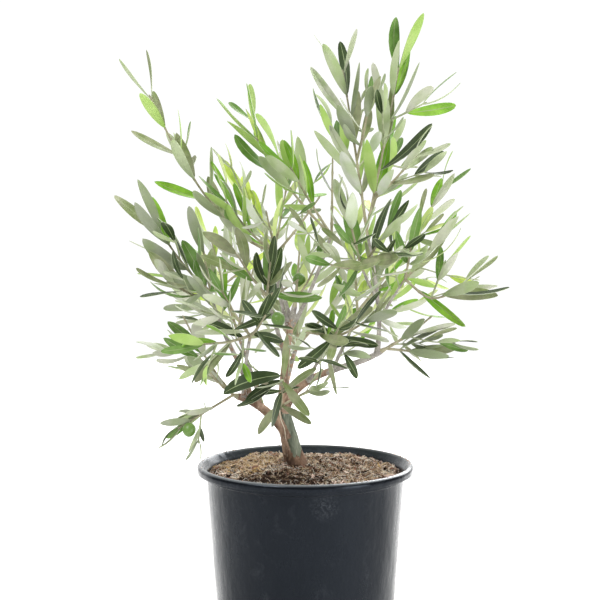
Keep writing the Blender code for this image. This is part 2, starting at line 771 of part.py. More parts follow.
def build_mass(mass, seed, paths, masses_stems, limb_tree, collection, material):
    """One mass of foliage: its twigs, leaves and fruit fused into one solid."""
    rng = random.Random(seed)
    holds = own_space(masses_stems, mass.name)
    pieces = make_collection(mass.name + "_pieces")
    stems = masses_stems[mass.name]
    trees = []
    candidates = []
    for number, stem in enumerate([*stems, *side_twigs(stems, rng)]):
        leaves = leaves_of(stem, rng)
        mesh = twig_mesh("twig", stem.path, stem.radii)
        tree = surface_tree(mesh)
        is_main = number < len(stems)
        if is_main or (holds(stem.path) and not limb_tree.overlap(tree)):
            add_object("twig", mesh, pieces)
            trees.append(tree)
            candidates += leaves
    for leaf in candidates:
        strip = blade_strip(leaf)
        if not holds(blade_samples(leaf)) or limb_tree.overlap(strip):
            continue
        if not any(tree.overlap(strip) for tree in trees):
            trees.append(strip)
            add_object("leaf", leaf_mesh("leaf", leaf), pieces)
    for olive in OLIVES:
        if olive.mass == mass.name:
            add_olive(olive, stems[olive.shoot], pieces)
    start, way, radius = neck_of(mass, paths)
    neck = twig_mesh(mass.name, [start, start + way * NECK], [radius, TWIG_RADIUS])
    item = add_object(mass.name, neck, collection)
    fuse(item, pieces)
    item.data.materials.append(material)


def fuse(item, pieces):
    """Joins the collection's objects to the item with one union, and removes them.

    Manifold is the solver here: it keeps each of the many thin blades closed.
    """
    boolean(item, "UNION", pieces, solver="MANIFOLD")
    depsgraph = bpy.context.evaluated_depsgraph_get()
    joined = bpy.data.meshes.new_from_object(item.evaluated_get(depsgraph))
    item.modifiers.clear()
    plain = item.data
    item.data = joined
    joined.name = item.name
    joined.materials.clear()
    bpy.data.meshes.remove(plain)
    for piece in list(pieces.objects):
        mesh = piece.data
        bpy.data.objects.remove(piece, do_unlink=True)
        bpy.data.meshes.remove(mesh)
    bpy.data.collections.remove(pieces)


def clearance_tree(paths):
    """One search tree over all limbs, each a little larger than it is."""
    points = []
    faces = []
    for limb in [TRUNK, *LIMBS]:
        path = paths[limb.name]
        radii = limb_radii(limb, path, more=LIMB_CLEARANCE)
        mesh = mesh_of(tube_from_curve(limb.name, path, radii, BOUGH_FINENESS), limb.name)
        first = len(points)
        points += [vertex.co.copy() for vertex in mesh.vertices]
        faces += [tuple(first + index for index in face.vertices) for face in mesh.polygons]
        bpy.data.meshes.remove(mesh)
    return BVHTree.FromPolygons(points, faces)


def build():
    remove_objects()
    plant = make_collection("potted_olive_sapling")
    cutters = make_collection("cutters")
    materials = {name: make_material(name) for name in FINISHES}
    build_pot(plant, cutters, materials["pot_plastic"])
    build_soil(plant, materials["soil_peat"])
    paths = build_limbs(plant, cutters, materials["olive_bark"])
    limb_tree = clearance_tree(paths)
    masses_stems = {}
    for mass in MASSES:
        start, way, _ = neck_of(mass, paths)
        masses_stems[mass.name] = main_stems(mass, start + way * (NECK - NECK_OVERLAP))
    for seed, mass in enumerate(MASSES, start=1):
        build_mass(mass, seed, paths, masses_stems, limb_tree, plant, materials["olive_leaf"])


build()
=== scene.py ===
"""The looks of a potted olive sapling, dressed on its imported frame.

The limbs, main shoots and leaves follow the rule of the part's source, with its tables
and its seeded draws, so each spray stands where its solid does. Finer twigs and more
leaves then grow on from them. The tables are in millimetres, and MM turns them into
metres. The plant shows best from -Y.
"""

import json
import math
import random
from collections import namedtuple

import bmesh
import bpy
import numpy as np
from mathutils import Matrix, Vector, noise
from mathutils.bvhtree import BVHTree
from mathutils.geometry import interpolate_bezier
from mathutils.kdtree import KDTree

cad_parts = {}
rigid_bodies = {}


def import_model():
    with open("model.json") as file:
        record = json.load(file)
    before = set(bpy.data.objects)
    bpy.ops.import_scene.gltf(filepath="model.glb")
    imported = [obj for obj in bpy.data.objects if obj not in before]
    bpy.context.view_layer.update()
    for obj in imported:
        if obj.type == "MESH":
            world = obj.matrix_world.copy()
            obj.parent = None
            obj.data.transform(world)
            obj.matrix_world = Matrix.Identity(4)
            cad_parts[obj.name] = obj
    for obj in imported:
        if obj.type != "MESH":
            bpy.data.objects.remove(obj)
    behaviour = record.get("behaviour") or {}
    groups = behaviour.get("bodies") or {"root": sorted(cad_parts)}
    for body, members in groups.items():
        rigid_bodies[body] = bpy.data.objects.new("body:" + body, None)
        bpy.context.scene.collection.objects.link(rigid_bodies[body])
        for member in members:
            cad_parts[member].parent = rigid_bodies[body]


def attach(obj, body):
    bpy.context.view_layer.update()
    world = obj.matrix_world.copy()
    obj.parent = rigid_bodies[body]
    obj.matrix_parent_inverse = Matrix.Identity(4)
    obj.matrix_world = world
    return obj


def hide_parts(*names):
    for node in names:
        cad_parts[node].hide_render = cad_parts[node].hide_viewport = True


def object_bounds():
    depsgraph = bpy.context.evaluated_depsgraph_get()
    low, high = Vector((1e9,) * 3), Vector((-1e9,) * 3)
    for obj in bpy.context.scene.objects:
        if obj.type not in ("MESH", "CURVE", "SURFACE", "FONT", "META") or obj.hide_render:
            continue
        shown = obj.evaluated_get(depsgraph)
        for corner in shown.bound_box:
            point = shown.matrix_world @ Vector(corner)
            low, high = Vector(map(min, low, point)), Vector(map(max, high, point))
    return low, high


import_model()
cad_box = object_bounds()

MM = 0.001
BODY = "root"

# Pot and soil, as in the source
POT_HEIGHT = 200 * MM
RIM_RADIUS = 110 * MM
BODY_TOP_RADIUS = 100.6 * MM
BASE_RADIUS = 86.8 * MM
POT_WALL = 1.6 * MM
POT_FLOOR = 2.5 * MM
LIP_DROP = 8 * MM
BEAD_DROP = 13 * MM
BEAD_OUT = 2.4 * MM
BEAD_ROUNDING = 1.2 * MM
FOOT_ROUNDING = 1.8 * MM
DRAIN_HOLES = 6
DRAIN_HOLE_RADIUS = 6 * MM
DRAIN_RING_RADIUS = 68 * MM
LIP_SECTION = ((5.5, 0.8), (3.6, 0.0), (1.2, 0.9), (0.0, 3.4), (0.3, 7.4), (1.6, 8.0))
SOIL_TOP = 195 * MM
SOIL_EDGE_DROP = 4.5 * MM
SOIL_LEVEL_RADIUS = 28 * MM
SOIL_FALL = 1.6

# Pot and soil, finer than the source
POT_SEGMENTS = 160
POT_WALL_RINGS = 26
POT_WAVER = 0.25 * MM
BASE_RECESS = 1.0 * MM
BASE_RECESS_RADIUS = 79 * MM
SOIL_RINGS = 110
SOIL_SEGMENTS = 260
SOIL_CLEAR = 0.4 * MM
SOIL_HEAPS = (((-26, 50), 40, 3.6), ((48, 62), 34, 1.8), ((-70, 10), 26, 1.4))
CRUMBS = 15500
CRUMB_HALF = (0.4, 1.45)
CRUMB_TILT = 50
CLODS = 520
CLOD_HALF = (1.4, 2.5)
FIBRES = 5200
RIM_CRUMBS = 90

# Limbs, as in the source
LIMB_SPANS = 6
TRUNK_SPANS = 10
GAP = 0.3 * MM
ROOT_FLARE = 3.2 * MM
FLARE_SHARE = 0.13
COLLAR = 0.16
COLLAR_SHARE = 0.10

# Limbs, finer than the source
FINER = 7
TRUNK_SIDES = 28
BOUGH_SIDES = 16
BARK_VOXEL = 0.66 * MM
BARK_SMOOTHING = 5
SLIM_BOUGH = 0.82
SLIM_FROM = 0.22

# Shoots and leaves, as in the source
NECK = 5 * MM
NECK_OVERLAP = 0.5 * MM
TWIG_RADIUS = 1.45 * MM
TWIG_TIP_RADIUS = 0.8 * MM
SIDE_TWIG_RADIUS = 1.05 * MM
SIDE_TWIG_CHANCE = 0.22
SIDE_TWIG_LEAN = (38, 58)
SIDE_TWIG_REACH = (0.55, 0.90)
SIDE_TWIG_SAG = 2
SIDE_TWIG_PAIRS = (0.5, 1.0)
SIDE_TWIG_LEAF = 0.75
SHOOT_SPAN = 27 * MM
TURN_AT_EACH_PAIR = math.radians(90)
LEAF_WIDTH_SHARE = 0.235
LEAF_FOOT_ACROSS = 0.15 * MM
LEAF_FOOT_BACK = 1.3 * MM
LEAF_SECTIONS = ((0.36, 0.92), (0.70, 0.80))
LEAF_FREE_SHARE = 0.14
SPREAD_LEFT_AT_TIP = 0.52
SPREAD_JITTER = (-9, 9)
LENGTH_LOST_AT_TIP = 0.14
LENGTH_JITTER = (0.84, 1.10)
TWIST_JITTER = (-32, 32)
ROLL_JITTER = (-16, 16)
LEAF_CURL = (8, 42)
SPACE_MARGIN = 1.5 * MM
SPACE_STEP = 5 * MM
SPACE_SAMPLES = ((0.15, 0.95), (0.35, 0.95), (0.55, 0.95), (0.75, 0.95), (0.90, 0.50))
LIMB_CLEARANCE = 1.4 * MM

# Finer twigs: they leave the shoots between their leaves
FINE_INNER = 0.62
FINE_LEAN = (28, 66)
FINE_REACH = (0.50, 1.15)
FINE_LEAF = (0.58, 0.86)
FINE_PAIRS = ((0.55, 1.0), (0.4, 0.7, 1.0))
FINE_RADIUS = 0.75 * MM
FINE_TIP_RADIUS = 0.5 * MM
FINE_MARGIN = 0.4 * MM
FINE_LIMB_CLEARANCE = 0.8 * MM
SPRIG_SHARES = (0.30, 0.45, 0.60, 0.75, 0.90)
SPRIG_REACH = (18, 42)
SPRIG_LEAF = (30, 50)
SPRIG_SPREAD = 54
SPRIG_FOOT_OUT = 0.6
FINE_FREE_FROM = 0.3

# Sides of the tubes that only tell what a shape would cross
TREE_SIDES = 3
LIMB_TREE_SIDES = 6
VIEW_SIDES = 8

# Olives, as in the source
OLIVE_LENGTH = 15 * MM
OLIVE_WIDTH = 13.4 * MM
OLIVE_STALK_RADIUS = 0.55 * MM

Limb = namedtuple("Limb", "name parent at leave arrive tip radii")

LIMBS = [
    Limb("trunk", None, None, (-6, 0, 26), (-4, -1, 22), (-24, 6, 260), (10.2, 6.6)),
    Limb("bough_left", "trunk", 0.50, (-12, -4, 18), (-22, -4, 6), (-68, -12, 271), (6.5, 4.2)),
    Limb("bough_centre", "trunk", 0.95, (0, 0, 30), (7, 2, 34), (-11, 10, 360), (5.4, 3.3)),
    Limb("bough_right", "trunk", 0.88, (17, -13, 50), (29, -5, 22), (76, -25, 319), (5.0, 3.1)),
    Limb("bough_back", "trunk", 0.92, (0, 16, 14), (6, 22, 16), (-10, 75, 307), (4.2, 2.6)),
    Limb("bough_left_riser", "bough_left", 0.80, (0, -14, 28), (-6, 3, 34), (-93, -18, 372),
         (3.2, 2.0)),
    Limb("bough_left_back", "bough_left", 0.60, (-3, 18, 14), (-9, 26, 22), (-70, 70, 323),
         (3.0, 2.0)),
    Limb("bough_left_front", "bough_left", 0.91, (1, -22, 14), (6, -18, 30), (-54, -80, 337),
         (2.8, 1.9)),
    Limb("bough_centre_front", "bough_centre", 0.50, (-4, -22, 18), (-8, -16, 30),
         (-37, -45, 372), (3.0, 2.0)),
    Limb("bough_upper_left", "bough_centre", 0.75, (-8, 0, 26), (0, 0, 26), (-29, 10, 409),
         (2.9, 1.9)),
    Limb("bough_crown", "bough_centre", 0.80, (14, -3, 16), (9, 5, 24), (25, 18, 427),
         (2.8, 1.8)),
    Limb("bough_leader", "bough_right", 0.95, (6, 2, 34), (-8, 4, 40), (62, -8, 434),
         (2.7, 1.9)),
    Limb("bough_leader_front", "bough_leader", 0.45, (-2, -16, 8), (-8, -12, 20),
         (56, -58, 402), (1.95, 1.6)),
    Limb("bough_back_upper", "bough_centre", 0.85, (-4, 14, 12), (-6, 8, 26),
         (-32, 52, 404), (2.6, 1.9)),
    Limb("bough_right_mid", "bough_leader", 0.28, (7, 4, 13), (9, 4, 13), (97, -8, 385),
         (1.9, 1.5)),
    Limb("bough_front_right", "bough_right", 0.33, (3, -16, 14), (8, -14, 16), (24, -55, 332),
         (2.4, 1.7)),
    Limb("bough_back_right", "bough_right", 0.55, (4, 20, 10), (7, 18, 20), (53, 55, 346),
         (2.5, 1.8)),
]
LIMB_NAMED = {limb.name: limb for limb in LIMBS}
TRUNK_FOOT = (-8, 10, 190)

Shoot = namedtuple("Shoot", "tone on at tip sag gap leaf roll bare spread")


def shoot(tone, tip, leaf, roll=0, sag=2, gap=18, bare=0.15, on=None, at=0.0, spread=54):
    """One main shoot, as in the source, and the tone of its spray of leaves."""
    return Shoot(tone, on, at, tip, sag, gap, leaf, roll, bare, spread)


Mass = namedtuple("Mass", "name limb fill shoots")

MASSES = [
    Mass("foliage_left_low", "bough_left", 0.20, [
        shoot("deep", (-126, -20, 241), 38, sag=0, gap=15, bare=0.4),
        shoot("sage", (-120, -35, 353), 58, 60, sag=6, bare=0.2),
        shoot("deep", (-104, -62, 318), 50, 20, sag=4, bare=0.3),
    ]),
    Mass("foliage_left", "bough_left_riser", 0.42, [
        shoot("green", (-143, -30, 438), 66, 15, sag=5, gap=14, bare=0.1),
        shoot("sage", (-104, -12, 432), 52, 25, gap=15, bare=0.2),
        shoot("fresh", (-62, -38, 402), 50, 45, gap=15, bare=0.35),
        shoot("deep", (-128, -55, 388), 56, 20, sag=6, gap=14, bare=0.25),
    ]),
    Mass("foliage_left_back", "bough_left_back", 0.45, [
        shoot("lime", (-100, 112, 420), 54, 30),
        shoot("sage", (-124, 125, 354), 52, 80),
        shoot("lime", (-54, 122, 395), 52, 10),
    ]),
    Mass("foliage_left_front", "bough_left_front", 0.45, [
        shoot("sage", (-78, -128, 388), 52),
        shoot("deep", (-38, -135, 366), 50, 70),
        shoot("green", (-96, -122, 338), 50, 40),
    ]),
    Mass("foliage_front", "bough_centre_front", 0.50, [
        shoot("deep", (-34, -78, 410), 52, 20, gap=14, bare=0.05),
        shoot("sage", (-66, -84, 420), 52, 60, bare=0.1),
        shoot("green", (-8, -100, 396), 50, bare=0.2),
    ]),
    Mass("foliage_left_leader", "bough_upper_left", 0.15, [
        shoot("green", (-154, -5, 570), 54, 10, sag=31, gap=23, bare=0.2),
        shoot("lime", (-39, 0, 455), 52, 20, gap=14, bare=0.2),
        shoot("fresh", (-78, -30, 468), 52, 20, sag=6, gap=16, bare=0.3),
        shoot("sage", (14, 44, 468), 42, 60, bare=0.4),
    ]),
    Mass("foliage_upper", "bough_crown", 0.32, [
        shoot("fresh", (-49, 8, 529), 68, 10, sag=7, gap=17, bare=0.12),
        shoot("deep", (28, 45, 512), 54, 25),
        shoot("fresh", (-14, -30, 500), 54, 20, gap=16, bare=0.3),
    ]),
    Mass("foliage_centre", "bough_centre", 0.60, [
        shoot("lime", (-5, 88, 424), 50, bare=0.2),
        shoot("green", (13, 50, 402), 46, 60, bare=0.4),
    ]),
    Mass("foliage_back_upper", "bough_back_upper", 0.35, [
        shoot("lime", (-66, 112, 474), 52),
        shoot("fresh", (-18, 128, 486), 52, 40),
        shoot("sage", (-44, 150, 434), 50, 80),
    ]),
    Mass("foliage_leaders", "bough_leader", 0.16, [
        shoot("sage", (37, -15, 594), 64, 20, sag=-4, gap=23, bare=0.06),
        shoot("sage", (63, -35, 566), 44, 15, gap=15, bare=0.3, on=0, at=0.42),
        shoot("green", (92, -5, 597), 68, 15, sag=4, gap=23, bare=0.1),
        shoot("sage", (108, -24, 512), 50, 15, gap=16, bare=0.15, on=2, at=0.2),
        shoot("green", (26, 44, 540), 56, 30, gap=21, on=0, at=0.2),
        shoot("fresh", (88, 66, 520), 54, 60, gap=21, on=2, at=0.05),
    ]),
    Mass("foliage_leader_front", "bough_leader_front", 0.35, [
        shoot("sage", (40, -98, 462), 56),
        shoot("deep", (78, -92, 446), 54, 40),
        shoot("sage", (24, -112, 412), 52, 80),
    ]),
    Mass("foliage_right", "bough_right_mid", 0.22, [
        shoot("fresh", (134, -15, 432), 54, 10, gap=14, bare=0.2),
        shoot("green", (148, -32, 378), 66, 5, sag=12, gap=13, bare=0.3),
        shoot("sage", (104, -48, 430), 56, 20, gap=15, bare=0.2),
    ]),
    Mass("foliage_right_low", "bough_right", 0.25, [
        shoot("deep", (123, -40, 354), 54, 20, gap=12, bare=0.15),
        shoot("deep", (112, -34, 319), 46, 5, gap=11, bare=0.45, spread=44),
    ]),
    Mass("foliage_front_right", "bough_front_right", 0.45, [
        shoot("deep", (31, -100, 350), 54, 5, gap=12, bare=0.25, spread=84),
        shoot("deep", (66, -92, 362), 52, 20, gap=14, bare=0.2),
        shoot("green", (2, -98, 346), 48, 20, gap=13, bare=0.3, on=0, at=0.4, spread=66),
    ]),
    Mass("foliage_back_right", "bough_back_right", 0.35, [
        shoot("fresh", (146, 100, 476), 48, sag=6, gap=22, bare=0.2),
        shoot("lime", (52, 125, 428), 54, 30),
        shoot("sage", (100, 130, 390), 54, 60),
        shoot("lime", (110, 80, 350), 50, 10, bare=0.3),
    ]),
    Mass("foliage_back", "bough_back", 0.50, [
        shoot("lime", (0, 152, 395), 54),
        shoot("sage", (-46, 150, 358), 52, 45),
        shoot("green", (38, 146, 358), 52, 70),
    ]),
    Mass("foliage_sprout", "trunk", 0.00, [
        shoot("dark", (-22, -46, 298), 58, 5, gap=9, bare=0.55, spread=88),
        shoot("dark", (-46, -50, 290), 46, 10, sag=-3, gap=9, bare=0.4, on=0, at=0.75),
        shoot("sage", (2, -27, 279), 40, 20, gap=12, bare=0.6, spread=70),
    ]),
]

SPROUT_AT = 0.93
SPROUT_WAY = (-0.12, -0.9, 0.35)

# The sprout's clearest leaves: place on its main shoot, tip, curl in degrees, tint
SPROUT_LEAVES = [
    (0.98, (-83, -58, 279), -62, "deep"),
    (0.86, (-62, -56, 277), -24, "deep"),
    (0.04, (-50, -30, 240), -20, "sage"),
    (0.04, (5, -36, 246), -18, "sage"),
    (0.55, (-50, -38, 281), 14, "deep"),
    (0.60, (-6, -40, 284), 10, "deep"),
    (0.45, (8, -62, 305), -16, "sage"),
]
SPROUT_FACE = (0.1, -0.75, 0.65)
SPROUT_LEAF_WIDTH = 0.27

Olive = namedtuple("Olive", "mass shoot at hang")

# Each olive's centre hangs this far from its place on the shoot
OLIVES = [
    Olive("foliage_left_low", 0, 0.80, (-1, -7, -8)),
    Olive("foliage_centre", 0, 0.55, (1, -10, -12)),
    Olive("foliage_front", 0, 0.10, (11, -6, -25)),
]

# The camera, in metres and degrees, and what it has to see
CAMERA_PLACE = (-0.0054, -1.8, 0.5517)
CAMERA_DOWN = 5.851
CAMERA_LENS = 107.82
CAMERA_SENSOR = 36
VIEW_LENGTH = 200 * MM
OLIVE_VIEW_HALF = 6 * MM
TRUNK_VIEW = (-19, 4, 229)
TRUNK_VIEW_HALF = 11 * MM
VIEW_TURNS = (25, -25, 50, -50, 75, -75, 100, -100)

# A leaf is turned aside when its line and the line of sight are nearer than about 32 degrees
END_ON = 0.85

# Leaf colours, sRGB: the upper side of each tint, then its underside. The fresh and lime tints
# are partly painted light: over the leaves' own greens they carry the glow of light shining
# through thin blades.
LEAF_TINTS = {
    "fresh": ("7FAC34", "A8C272"),
    "green": ("6C8D48", "AEB994"),
    # The deep tint is partly painted shade: the dark green of leaves turned from the light,
    # dealt out most to the low and front sprays
    "deep": ("3F4D30", "989F88"),
    "sage": ("909473", "C0C2B0"),
    "lime": ("C2D660", "D6E0A0"),
    "pale": ("B8BEA3", "CED2C4"),
}

# The tints of a spray: each leaf of a tone takes one of these
TONES = {
    "fresh": ("fresh", "fresh", "fresh", "green", "lime", "sage"),
    "green": ("green", "green", "fresh", "sage", "deep"),
    "deep": ("deep", "deep", "deep", "green", "sage"),
    "sage": ("sage", "sage", "green", "pale", "deep"),
    "lime": ("lime", "lime", "fresh", "pale", "sage"),
    # The dark tone, for the sprout low on the trunk, is mostly the deep tint: partly painted
    # shade
    "dark": ("deep", "deep", "deep", "sage"),
}
# The margin's colour: partly the blade's paler edge, partly a painted rim light round the
# leaves
MARGIN_AND_RIM_LIGHT_COLOUR = "B4BE9C"
RIB_COLOUR = "8F9E6E"


def metres(point):
    """A place that a table gives in millimetres."""
    return Vector(point) * MM


def around(radius, angle, height=0.0):
    """The place at an angle round the Z axis."""
    return Vector((radius * math.cos(angle), radius * math.sin(angle), height))


def lump(place, size):
    """Soft noise from -1 to 1, with lumps about this many millimetres across."""
    return noise.noise(place / (size * MM))


def linear(hex_colour, share=1.0):
    """An sRGB hex colour as linear red, green, blue and alpha, darker or lighter by a share."""
    levels = [int(hex_colour[place:place + 2], 16) / 255 for place in (0, 2, 4)]
    lights = [level / 12.92 if level <= 0.04045 else ((level + 0.055) / 1.055) ** 2.4
              for level in levels]
    return tuple(min(light * share, 1) for light in lights) + (1.0,)


def grain(size):
    """The scale of a noise whose grains are about this many millimetres across."""
    return 1 / (size * MM)


def spread(value, low, high, least=0.0, most=1.0):
    """The sockets that turn a value between low and high into one from least to most."""
    return {"Value": value, "From Min": low, "From Max": high, "To Min": least, "To Max": most}


# The share of a fleck's spacing that its full colour fills
FLECK_CORE = 0.12

# Sockets of a colour mix
MIX_SHARE, MIX_FIRST, MIX_SECOND, MIX_RESULT = 0, 6, 7, 2


class Look:
    """A material in the making, with its shader and the place on the object."""

    def __init__(self, name, values):
        self.material = bpy.data.materials.new(name)
        self.material.use_nodes = True
        self.tree = self.material.node_tree
        self.shader = self.tree.nodes["Principled BSDF"]
        self.fill(self.shader, values)
        self.place = self.add("ShaderNodeTexCoord", {})["Object"]
        self.normal = {}

    def fill(self, node, values):
        """Fills a node's sockets with values or links."""
        for key, value in values.items():
            if isinstance(value, bpy.types.NodeSocket):
                self.tree.links.new(value, node.inputs[key])
            else:
                node.inputs[key].default_value = value

    def add(self, kind, values, **settings):
        """Adds a node with its settings, values and links, and returns its outputs."""
        node = self.tree.nodes.new(kind)
        for key, value in settings.items():
            setattr(node, key, value)
        self.fill(node, values)
        return node.outputs

    def patches(self, size, detail, low=0.0, high=1.0, least=0.0, most=1.0, **values):
        """A share that changes in grains about this many millimetres across."""
        grains = self.add("ShaderNodeTexNoise", {
            "Vector": self.place, "Scale": grain(size), "Detail": detail, **values})
        return self.add("ShaderNodeMapRange",
                        spread(grains["Fac"], low, high, least, most))["Result"]

    def mottled(self, size, detail, first, second, low=0.0, high=1.0, rough=0.5, **settings):
        """Two colours that pass into each other in such grains."""
        share = self.patches(size, detail, low, high, Roughness=rough)
        return self.add("ShaderNodeMix", {
            MIX_SHARE: share, MIX_FIRST: first, MIX_SECOND: second},
            data_type="RGBA", **settings)[MIX_RESULT]

    def drifting(self, colour, tint):
        """A leaf's colour, which turns deeper and greener in soft patches."""
        return self.mottled(*DRIFT, colour, tint, *DRIFT_ENDS, blend_type="MULTIPLY")

    def blend(self, first, second, *ends):
        """Passes from one colour to the other while a value is spread between its ends."""
        share = self.add("ShaderNodeMapRange", spread(*ends))["Result"]
        return self.add("ShaderNodeMix", {
            MIX_SHARE: share, MIX_FIRST: first, MIX_SECOND: second},
            data_type="RGBA")[MIX_RESULT]

    def sprinkled(self, size, reach, most, under, colour):
        """Round flecks of a colour, which fade into the one under them."""
        dots = self.add("ShaderNodeTexVoronoi", {"Vector": self.place, "Scale": grain(size)})
        return self.blend(under, linear(colour), dots["Distance"], FLECK_CORE, reach, most, 0.0)

    def relief(self, size, detail, strength, depth, rough=0.5):
        """Bumps of a size and a depth in millimetres, over those that came before."""
        height = self.patches(size, detail, Roughness=rough)
        self.normal = {"Normal": self.add("ShaderNodeBump", {
            "Height": height, "Strength": strength, "Distance": depth * MM,
            **self.normal})["Normal"]}
        self.fill(self.shader, self.normal)

    def paint(self, colour):
        """Gives the shader its colour, and returns the material."""
        self.fill(self.shader, {"Base Color": colour})
        return self.material



# Soft patches of a leaf: their size and detail, and where they start and end in the noise
DRIFT = (20, 1)
DRIFT_ENDS = (0.42, 0.62)

# What these patches multiply the colour of each side by
UPPER_DRIFT = (0.66, 0.78, 0.50, 1.0)
UNDER_DRIFT = (0.82, 0.90, 0.70, 1.0)


def leaf_upper(name, colour):
    """Olive leaf, upper side: leathery and waxed, so it takes a soft gleam, with a slight
    mottle and the shallow grain of a thick skin."""
    look = Look(name, {"Roughness": 0.5, "IOR": 1.45, "Specular IOR Level": 0.32})
    look.relief(2.2, 2, 0.1, 0.15)
    mottle = look.mottled(7, 3, linear(colour, 0.86), linear(colour, 1.12), 0.35, 0.65)
    return look.paint(look.drifting(mottle, UPPER_DRIFT))


def leaf_under(name, colour):
    """Olive leaf, underside: a felt of tiny silver scales, matt, with a pale sheen."""
    look = Look(name, {"Roughness": 0.78, "IOR": 1.4, "Specular IOR Level": 0.2,
                       "Sheen Weight": 0.06, "Sheen Roughness": 0.5})
    look.relief(1.1, 4, 0.2, 0.1)
    felt = look.mottled(1.1, 4, linear(colour, 0.86), linear(colour, 1.12))
    return look.paint(look.drifting(felt, UNDER_DRIFT))


def rib(name, colour):
    """Midrib and margin of the leaf: paler, smooth and a little waxy. The margin's pale colour
    is partly a painted rim light.
    """
    look = Look(name, {"Roughness": 0.5, "IOR": 1.45})
    return look.paint(look.mottled(2, 2, linear(colour, 0.85), linear(colour, 1.1)))


def bark(name, dark, light, fleck, crack=2.2, depth=0.35, streak=1.0):
    """Olive bark: fine cracks and small pale flecks on a dull skin that varies in tone
    from one finger's width to the next, in upright streaks on the trunk."""
    look = Look(name, {"Roughness": 0.82, "IOR": 1.5})
    look.place = look.add("ShaderNodeMapping", {
        "Vector": look.place, "Scale": (1, 1, streak)})["Vector"]
    look.relief(crack, 6, 0.7, depth, rough=0.7)
    body = look.mottled(9, 5, linear(dark), linear(light), 0.36, 0.64, rough=0.65)
    return look.paint(look.sprinkled(2.6, 0.3, 0.55, body, fleck))


def earth(name, dark, light, size=3):
    """Peat and coir: dull and soft, each crumb mottled, with no gloss at all."""
    look = Look(name, {"Roughness": 0.95, "IOR": 1.4, "Specular IOR Level": 0.25})
    look.relief(0.8, 4, 0.8, 0.5)
    return look.paint(look.mottled(size, 6, linear(dark), linear(light), 0.36, 0.64, rough=0.7))


def olive_skin(name):
    """Green olive: firm and smooth with a dull gleam, sprinkled with tiny pale pores."""
    look = Look(name, {"Roughness": 0.36, "IOR": 1.45})
    body = look.mottled(6, 3, linear("527532"), linear("6F8F46"))
    return look.paint(look.sprinkled(1.3, 0.28, 0.6, body, "A9BC80"))


# The rubbed patch on the pot's front, with its core and its edge, and the pot's tints
SCUFF_PLACE = (20 * MM, -101 * MM, 178 * MM)
SCUFF_REACH = (4 * MM, 19 * MM)
# The colour of the lip's top edge: partly dust, partly a painted highlight where the lip turns
# over
LIP_DUST_AND_HIGHLIGHT = "6A6D70"
POT_GLOSS_TINT = (0.71, 0.83, 1.0, 1.0)


def pot_plastic(name, clean, dusty):
    """Moulded polypropylene: charcoal and satin, with a fine grain from the mould, slight
    upright waves that break up the gleam, a lip that hands have polished, and dust that
    clings in thin scuffs. The lip's top edge is painted paler: partly dust, partly a painted
    highlight where the lip turns over. The mould's polish is a thin sharper gleam over it,
    which whitens the edges where the eye grazes the wall."""
    look = Look(name, {"IOR": 1.49, "Specular IOR Level": 0.22,
                       "Specular Tint": POT_GLOSS_TINT, "Coat Roughness": 0.12})
    height = look.add("ShaderNodeSeparateXYZ", {"Vector": look.place})["Z"]
    scuffs = look.patches(26, 9, 0.56, 0.76, 0.0, 0.22, Roughness=0.72, Distortion=0.6)
    specks = look.patches(3, 6, 0.47, 0.62, Roughness=0.8)
    away = look.add("ShaderNodeVectorMath", {0: look.place, 1: SCUFF_PLACE},
                    operation="DISTANCE")["Value"]
    rubbed = look.add("ShaderNodeMapRange", spread(away, *SCUFF_REACH, 0.5, 0.0))["Result"]
    worn = look.add("ShaderNodeMath", {0: rubbed, 1: specks}, operation="MULTIPLY")["Value"]
    dust = look.add("ShaderNodeMath", {0: scuffs, 1: worn}, operation="MAXIMUM")["Value"]
    body = look.blend(linear(clean), linear(dusty), dust, 0.0, 1.0)
    look.relief(2.5, 6, 0.5, 0.3, rough=0.7)
    look.place = look.add("ShaderNodeMapping", {
        "Vector": look.place, "Scale": (1, 1, 0.45)})["Vector"]
    look.relief(13, 3, 0.8, 1.1)
    dull = look.patches(22, 9, 0.35, 0.66, 0.22, 0.45, Roughness=0.68)
    polish = look.add("ShaderNodeMapRange", spread(
        height, POT_HEIGHT - LIP_DROP, POT_HEIGHT - 2 * MM, 1.0, 0.55))["Result"]
    gloss = look.add("ShaderNodeMath", {0: dull, 1: polish}, operation="MULTIPLY")["Value"]
    grazing = look.add("ShaderNodeLayerWeight", {"Blend": 0.5})["Facing"]
    coat = look.add("ShaderNodeMapRange", spread(grazing, 0.45, 0.95, 0.0, 0.9))["Result"]
    look.fill(look.shader, {"Roughness": gloss, "Coat Weight": coat,
                            "Coat Normal": look.normal["Normal"]})
    # The lip's top edge turns paler: partly dust, partly a painted highlight
    return look.paint(look.blend(body, linear(LIP_DUST_AND_HIGHLIGHT), height, POT_HEIGHT - 1.7 * MM,
                                 POT_HEIGHT - 0.3 * MM))


class Heap:
    """Points and faces of many small things that become one joined mesh."""

    def __init__(self, points=(), faces=()):
        self.points = []
        self.faces = []
        self.finishes = []
        self.add(points, faces)

    def add(self, points, faces, finishes=0):
        first = len(self.points)
        self.points.extend(points)
        self.faces.extend([tuple(first + place for place in face) for face in faces])
        self.finishes.extend([finishes] * len(faces) if isinstance(finishes, int) else finishes)

    def mesh(self, name, sharp_degrees):
        mesh = bpy.data.meshes.new(name)
        mesh.from_pydata([tuple(point) for point in self.points], [], self.faces)
        mesh.polygons.foreach_set("material_index", self.finishes)
        mesh.shade_smooth()
        mesh.set_sharp_from_angle(angle=math.radians(sharp_degrees))
        mesh.update()
        return mesh


def placed(name, data):
    """A new object in the scene."""
    item = bpy.data.objects.new(name, data)
    bpy.context.scene.collection.objects.link(item)
    return item


